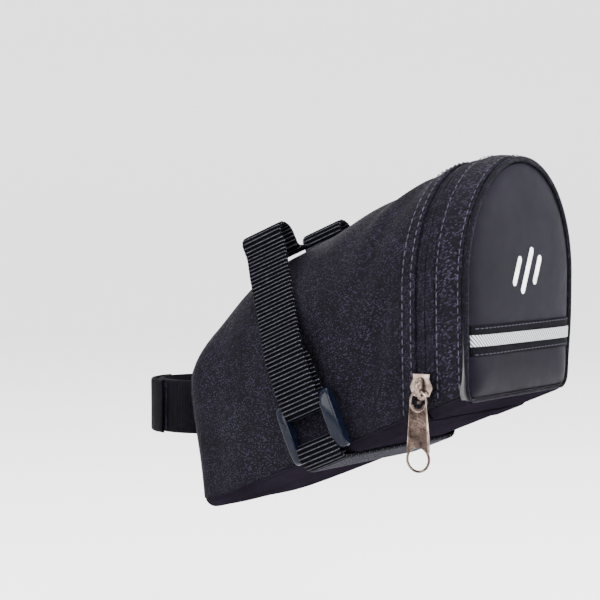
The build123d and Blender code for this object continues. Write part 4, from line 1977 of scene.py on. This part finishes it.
@dataclass
class PostStrap:
    """The strap round the post with its pile and hook closure.

    Attributes:
        finishes: the materials.
        inner: inside radius, mm.
        inner_thick: thickness of the inner loop, mm.
        high: height, mm.
        patch_half: half width of the sewn patch, mm.
    """

    finishes: Finishes
    front: float
    inner: float = 15.9
    inner_thick: float = 2.6
    high: float = 22.0
    patch_half: float = 21.6

    def band(self, r_in: float, r_out: float, first: float, last: float, high: float,
             wave: float = 0.0) -> Weft:
        """An upright arc with round edges.

        Args:
            r_in: inside radius.
            r_out: outside radius.
            first: first angle, degrees.
            last: last angle, degrees.
            high: its height.
            wave: how uneven its outside is.

        Returns:
            The mesh.
        """
        weft, rings = Weft(), []
        count = max(8, int((last - first) / 3))
        profile = [(0.0, -0.5), (0.0, 0.5), (0.12, 0.5), (0.5, 0.495), (0.85, 0.48), (1.0, 0.44), (1.0, 0.2),
                   (1.0, 0.0), (1.0, -0.2), (1.0, -0.44), (0.85, -0.48), (0.5, -0.495), (0.12, -0.5)]
        for i in range(count + 1):
            a = math.radians(first + (last - first) * i / count)
            ring = []
            for depth, z in profile:
                ripple = wave * noise.noise(Vector((math.cos(a) * 2, math.sin(a) * 2, z * 1.5))) * depth
                r = r_in + (r_out - r_in) * depth + ripple
                ring.append((r * math.cos(a), r * math.sin(a), z * high))
            rings.append(ring)
        weft.tube(rings)
        for number, (x, y, z) in enumerate(weft.points):
            weft.lays[number] = (math.atan2(y, x) * r_out, z, 0.0)
        return weft

    def dress(self) -> None:
        """Builds the loop with its patch, the pile, the hook patch and the peeling flap."""
        loop_r = self.inner + self.inner_thick
        weft = self.band(self.inner, loop_r, -87.0, 267.0, self.high, 0.25)
        rows = []
        for x in even_places(-self.patch_half, self.patch_half, 24):
            lift = 1.9 + 0.5 * math.cos(x / self.patch_half * math.pi)
            rows.append([(x, self.front + depth, z) for depth,
                         z in ((0.05, -10.8), (lift - 0.3, -10.9), (lift, -9.8), (lift, 0.0), (lift, 9.8),
                               (lift - 0.3, 10.9), (0.05, 10.8))])
        start = len(weft.points)
        weft.tube(rows)
        for number in range(start, len(weft.points)):
            x, _, z = weft.points[number]
            weft.lays[number] = (x, z, 0.0)
        settle(weft.build("post_loop", self.finishes.ribbon), Body.BAG, "black_webbing", "post_strap")
        sewn = Weft()
        for side in (-1, 1):
            for x in (side * 20.4, side * 17.6):
                path = [Vector((x, self.front + 1.75, z)) for z in even_places(-9.6, 9.6, 20)]
                StitchRow(1.9, 0.6, 0.22).sew(sewn, path, lambda point: Vector((0, 1, 0)))
        settle(sewn.build("post_strap_tack", self.finishes.thread), Body.BAG, "black_webbing")
        pile = self.band(loop_r, loop_r + 0.55, 70.0, 165.0, self.high - 3.0, 0.12)
        settle(pile.build("pile_patch", self.finishes.tape), Body.BAG, "zip_tape", "strap_loop_tape")
        hook = self.band(loop_r + 0.98, loop_r + 1.5, 80.0, 157.0, self.high - 3.2)
        settle(hook.build("hook_patch", self.finishes.tape), Body.FLAP, "zip_tape", "strap_hook_patch")
        flap = self.band(loop_r + 1.55, loop_r + 2.8, 76.0, 165.0, self.high, 0.15)
        settle(flap.build("strap_flap", self.finishes.ribbon), Body.FLAP, "black_webbing", "post_strap_flap")


@dataclass
class Studio:
    """Pale floor and backdrop, soft lights and the camera.

    Attributes:
        azimuth: camera direction in degrees, 0 looking along +Y.
        elevation: camera height in degrees.
        distance: from the aim to the camera, metres.
        lens: focal length for a 36 mm sensor.
        aim_right: the aim, this far right of the origin in the camera's view, metres.
        aim_up: and this far up.
    """

    azimuth: float = -56.77
    elevation: float = 3.1
    distance: float = 0.9124
    lens: float = 130.6
    aim_right: float = 0.04107
    aim_up: float = 0.04316
    floor: float = -0.13

    def camera(self) -> None:
        """Makes the camera."""
        a, e = math.radians(self.azimuth), math.radians(self.elevation)
        back = Vector((math.sin(a) * math.cos(e), -math.cos(a) * math.cos(e), math.sin(e)))
        right = (-back).cross(Vector((0, 0, 1))).normalized()
        up = right.cross(-back)
        lens = bpy.data.cameras.new("camera")
        lens.lens, lens.sensor_width = self.lens, 36.0
        lens.clip_start, lens.clip_end = 0.01, 50.0
        camera = bpy.data.objects.new("camera", lens)
        camera.location = right * self.aim_right + up * self.aim_up + back * self.distance
        camera.rotation_mode = "QUATERNION"
        camera.rotation_quaternion = (-back).to_track_quat("-Z", "Y")
        bpy.context.scene.collection.objects.link(camera)
        bpy.context.scene.camera = camera

    def light(self, name: str, place: Point, size: float, power: float) -> None:
        """A square soft light aimed at the bag.

        Args:
            name: its name.
            place: where it stands, metres.
            size: its side, metres.
            power: watts.
        """
        lamp = bpy.data.lights.new(name, "AREA")
        lamp.size, lamp.energy = size, power
        made = bpy.data.objects.new(name, lamp)
        made.location = place
        made.rotation_mode = "QUATERNION"
        made.rotation_quaternion = (Vector((0, -0.08, 0.03)) - Vector(place)).to_track_quat("-Z", "Y")
        bpy.context.scene.collection.objects.link(made)

    def backdrop(self) -> None:
        """A pale round floor that curves up far away on every side."""
        weft, rings = Weft(), []
        profile = ((0.0005, 0.0), (1.0, 0.0), (2.2, 0.0), (2.9, 0.12), (3.4, 0.5), (3.6, 1.1), (3.65, 3.2))
        for radius, rise in profile:
            rings.append([(radius / MM * math.cos(a), radius / MM * math.sin(a),
                           (self.floor + rise) / MM) for a in (math.tau * i / 72 for i in range(72))])
        weft.grid(rings, ring=True)
        floor = weft.build("studio_floor",
                           Plain("pale_floor", (0.92, 0.92, 0.92), 0.9, 3.0, 0.0, 0.004).material())
        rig.stage(floor)

    def dress(self) -> None:
        """Builds the studio."""
        self.camera()
        self.backdrop()
        self.light("key", (-0.9, -1.2, 1.1), 0.9, 75.0)
        self.light("rear_fill", (0.9, -1.3, 0.4), 0.8, 34.0)
        self.light("side_fill", (-1.4, 0.5, 0.5), 0.9, 30.0)
        self.light("top", (0.0, 0.0, 1.6), 1.2, 40.0)
        world = bpy.data.worlds.new("studio")
        world.use_nodes = True
        world.node_tree.nodes["Background"].inputs["Color"].default_value = (1.0, 1.0, 1.0, 1.0)
        world.node_tree.nodes["Background"].inputs["Strength"].default_value = 1.9
        bpy.context.scene.world = world


def dress_boards(frame: dict, finishes: Finishes) -> None:
    """Gives the hard CAD nodes that stay their finish.

    Args:
        frame: the loaded frame.
        finishes: the materials.
    """
    for node, material in (("base_board", finishes.board), ("lid_board", finishes.board),
                           ("zip_stops", finishes.nickel)):
        piece = frame["nodes"][node]
        piece.data.materials.clear()
        piece.data.materials.append(material)
        log.info("%s keeps its CAD shape", node)


def main() -> list[list[float]]:
    """Builds the bag.

    Returns:
        The CAD model's box.
    """
    logging.basicConfig(level=logging.INFO, format="%(name)s: %(message)s")
    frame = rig.load()
    cad_box = [list(corner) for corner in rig.bounds()]
    finishes = Finishes()
    shape = BagShape.from_frame()
    Studio().dress()
    body = BagBody(shape, finishes)
    for build in (body.wrap, body.front, body.base, body.lining, body.hem):
        build()
    Lid(shape, finishes).dress()
    Zip(shape, finishes).dress()
    Straps(shape, finishes).dress()
    PostStrap(finishes, shape.front).dress()
    dress_boards(frame, finishes)
    return cad_box


if __name__ == "__main__":
    frame_box = main()
    with open("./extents.json", "w", encoding="utf-8") as report:
        json.dump({"cad": frame_box, "visual": [list(corner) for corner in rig.bounds()]}, report)
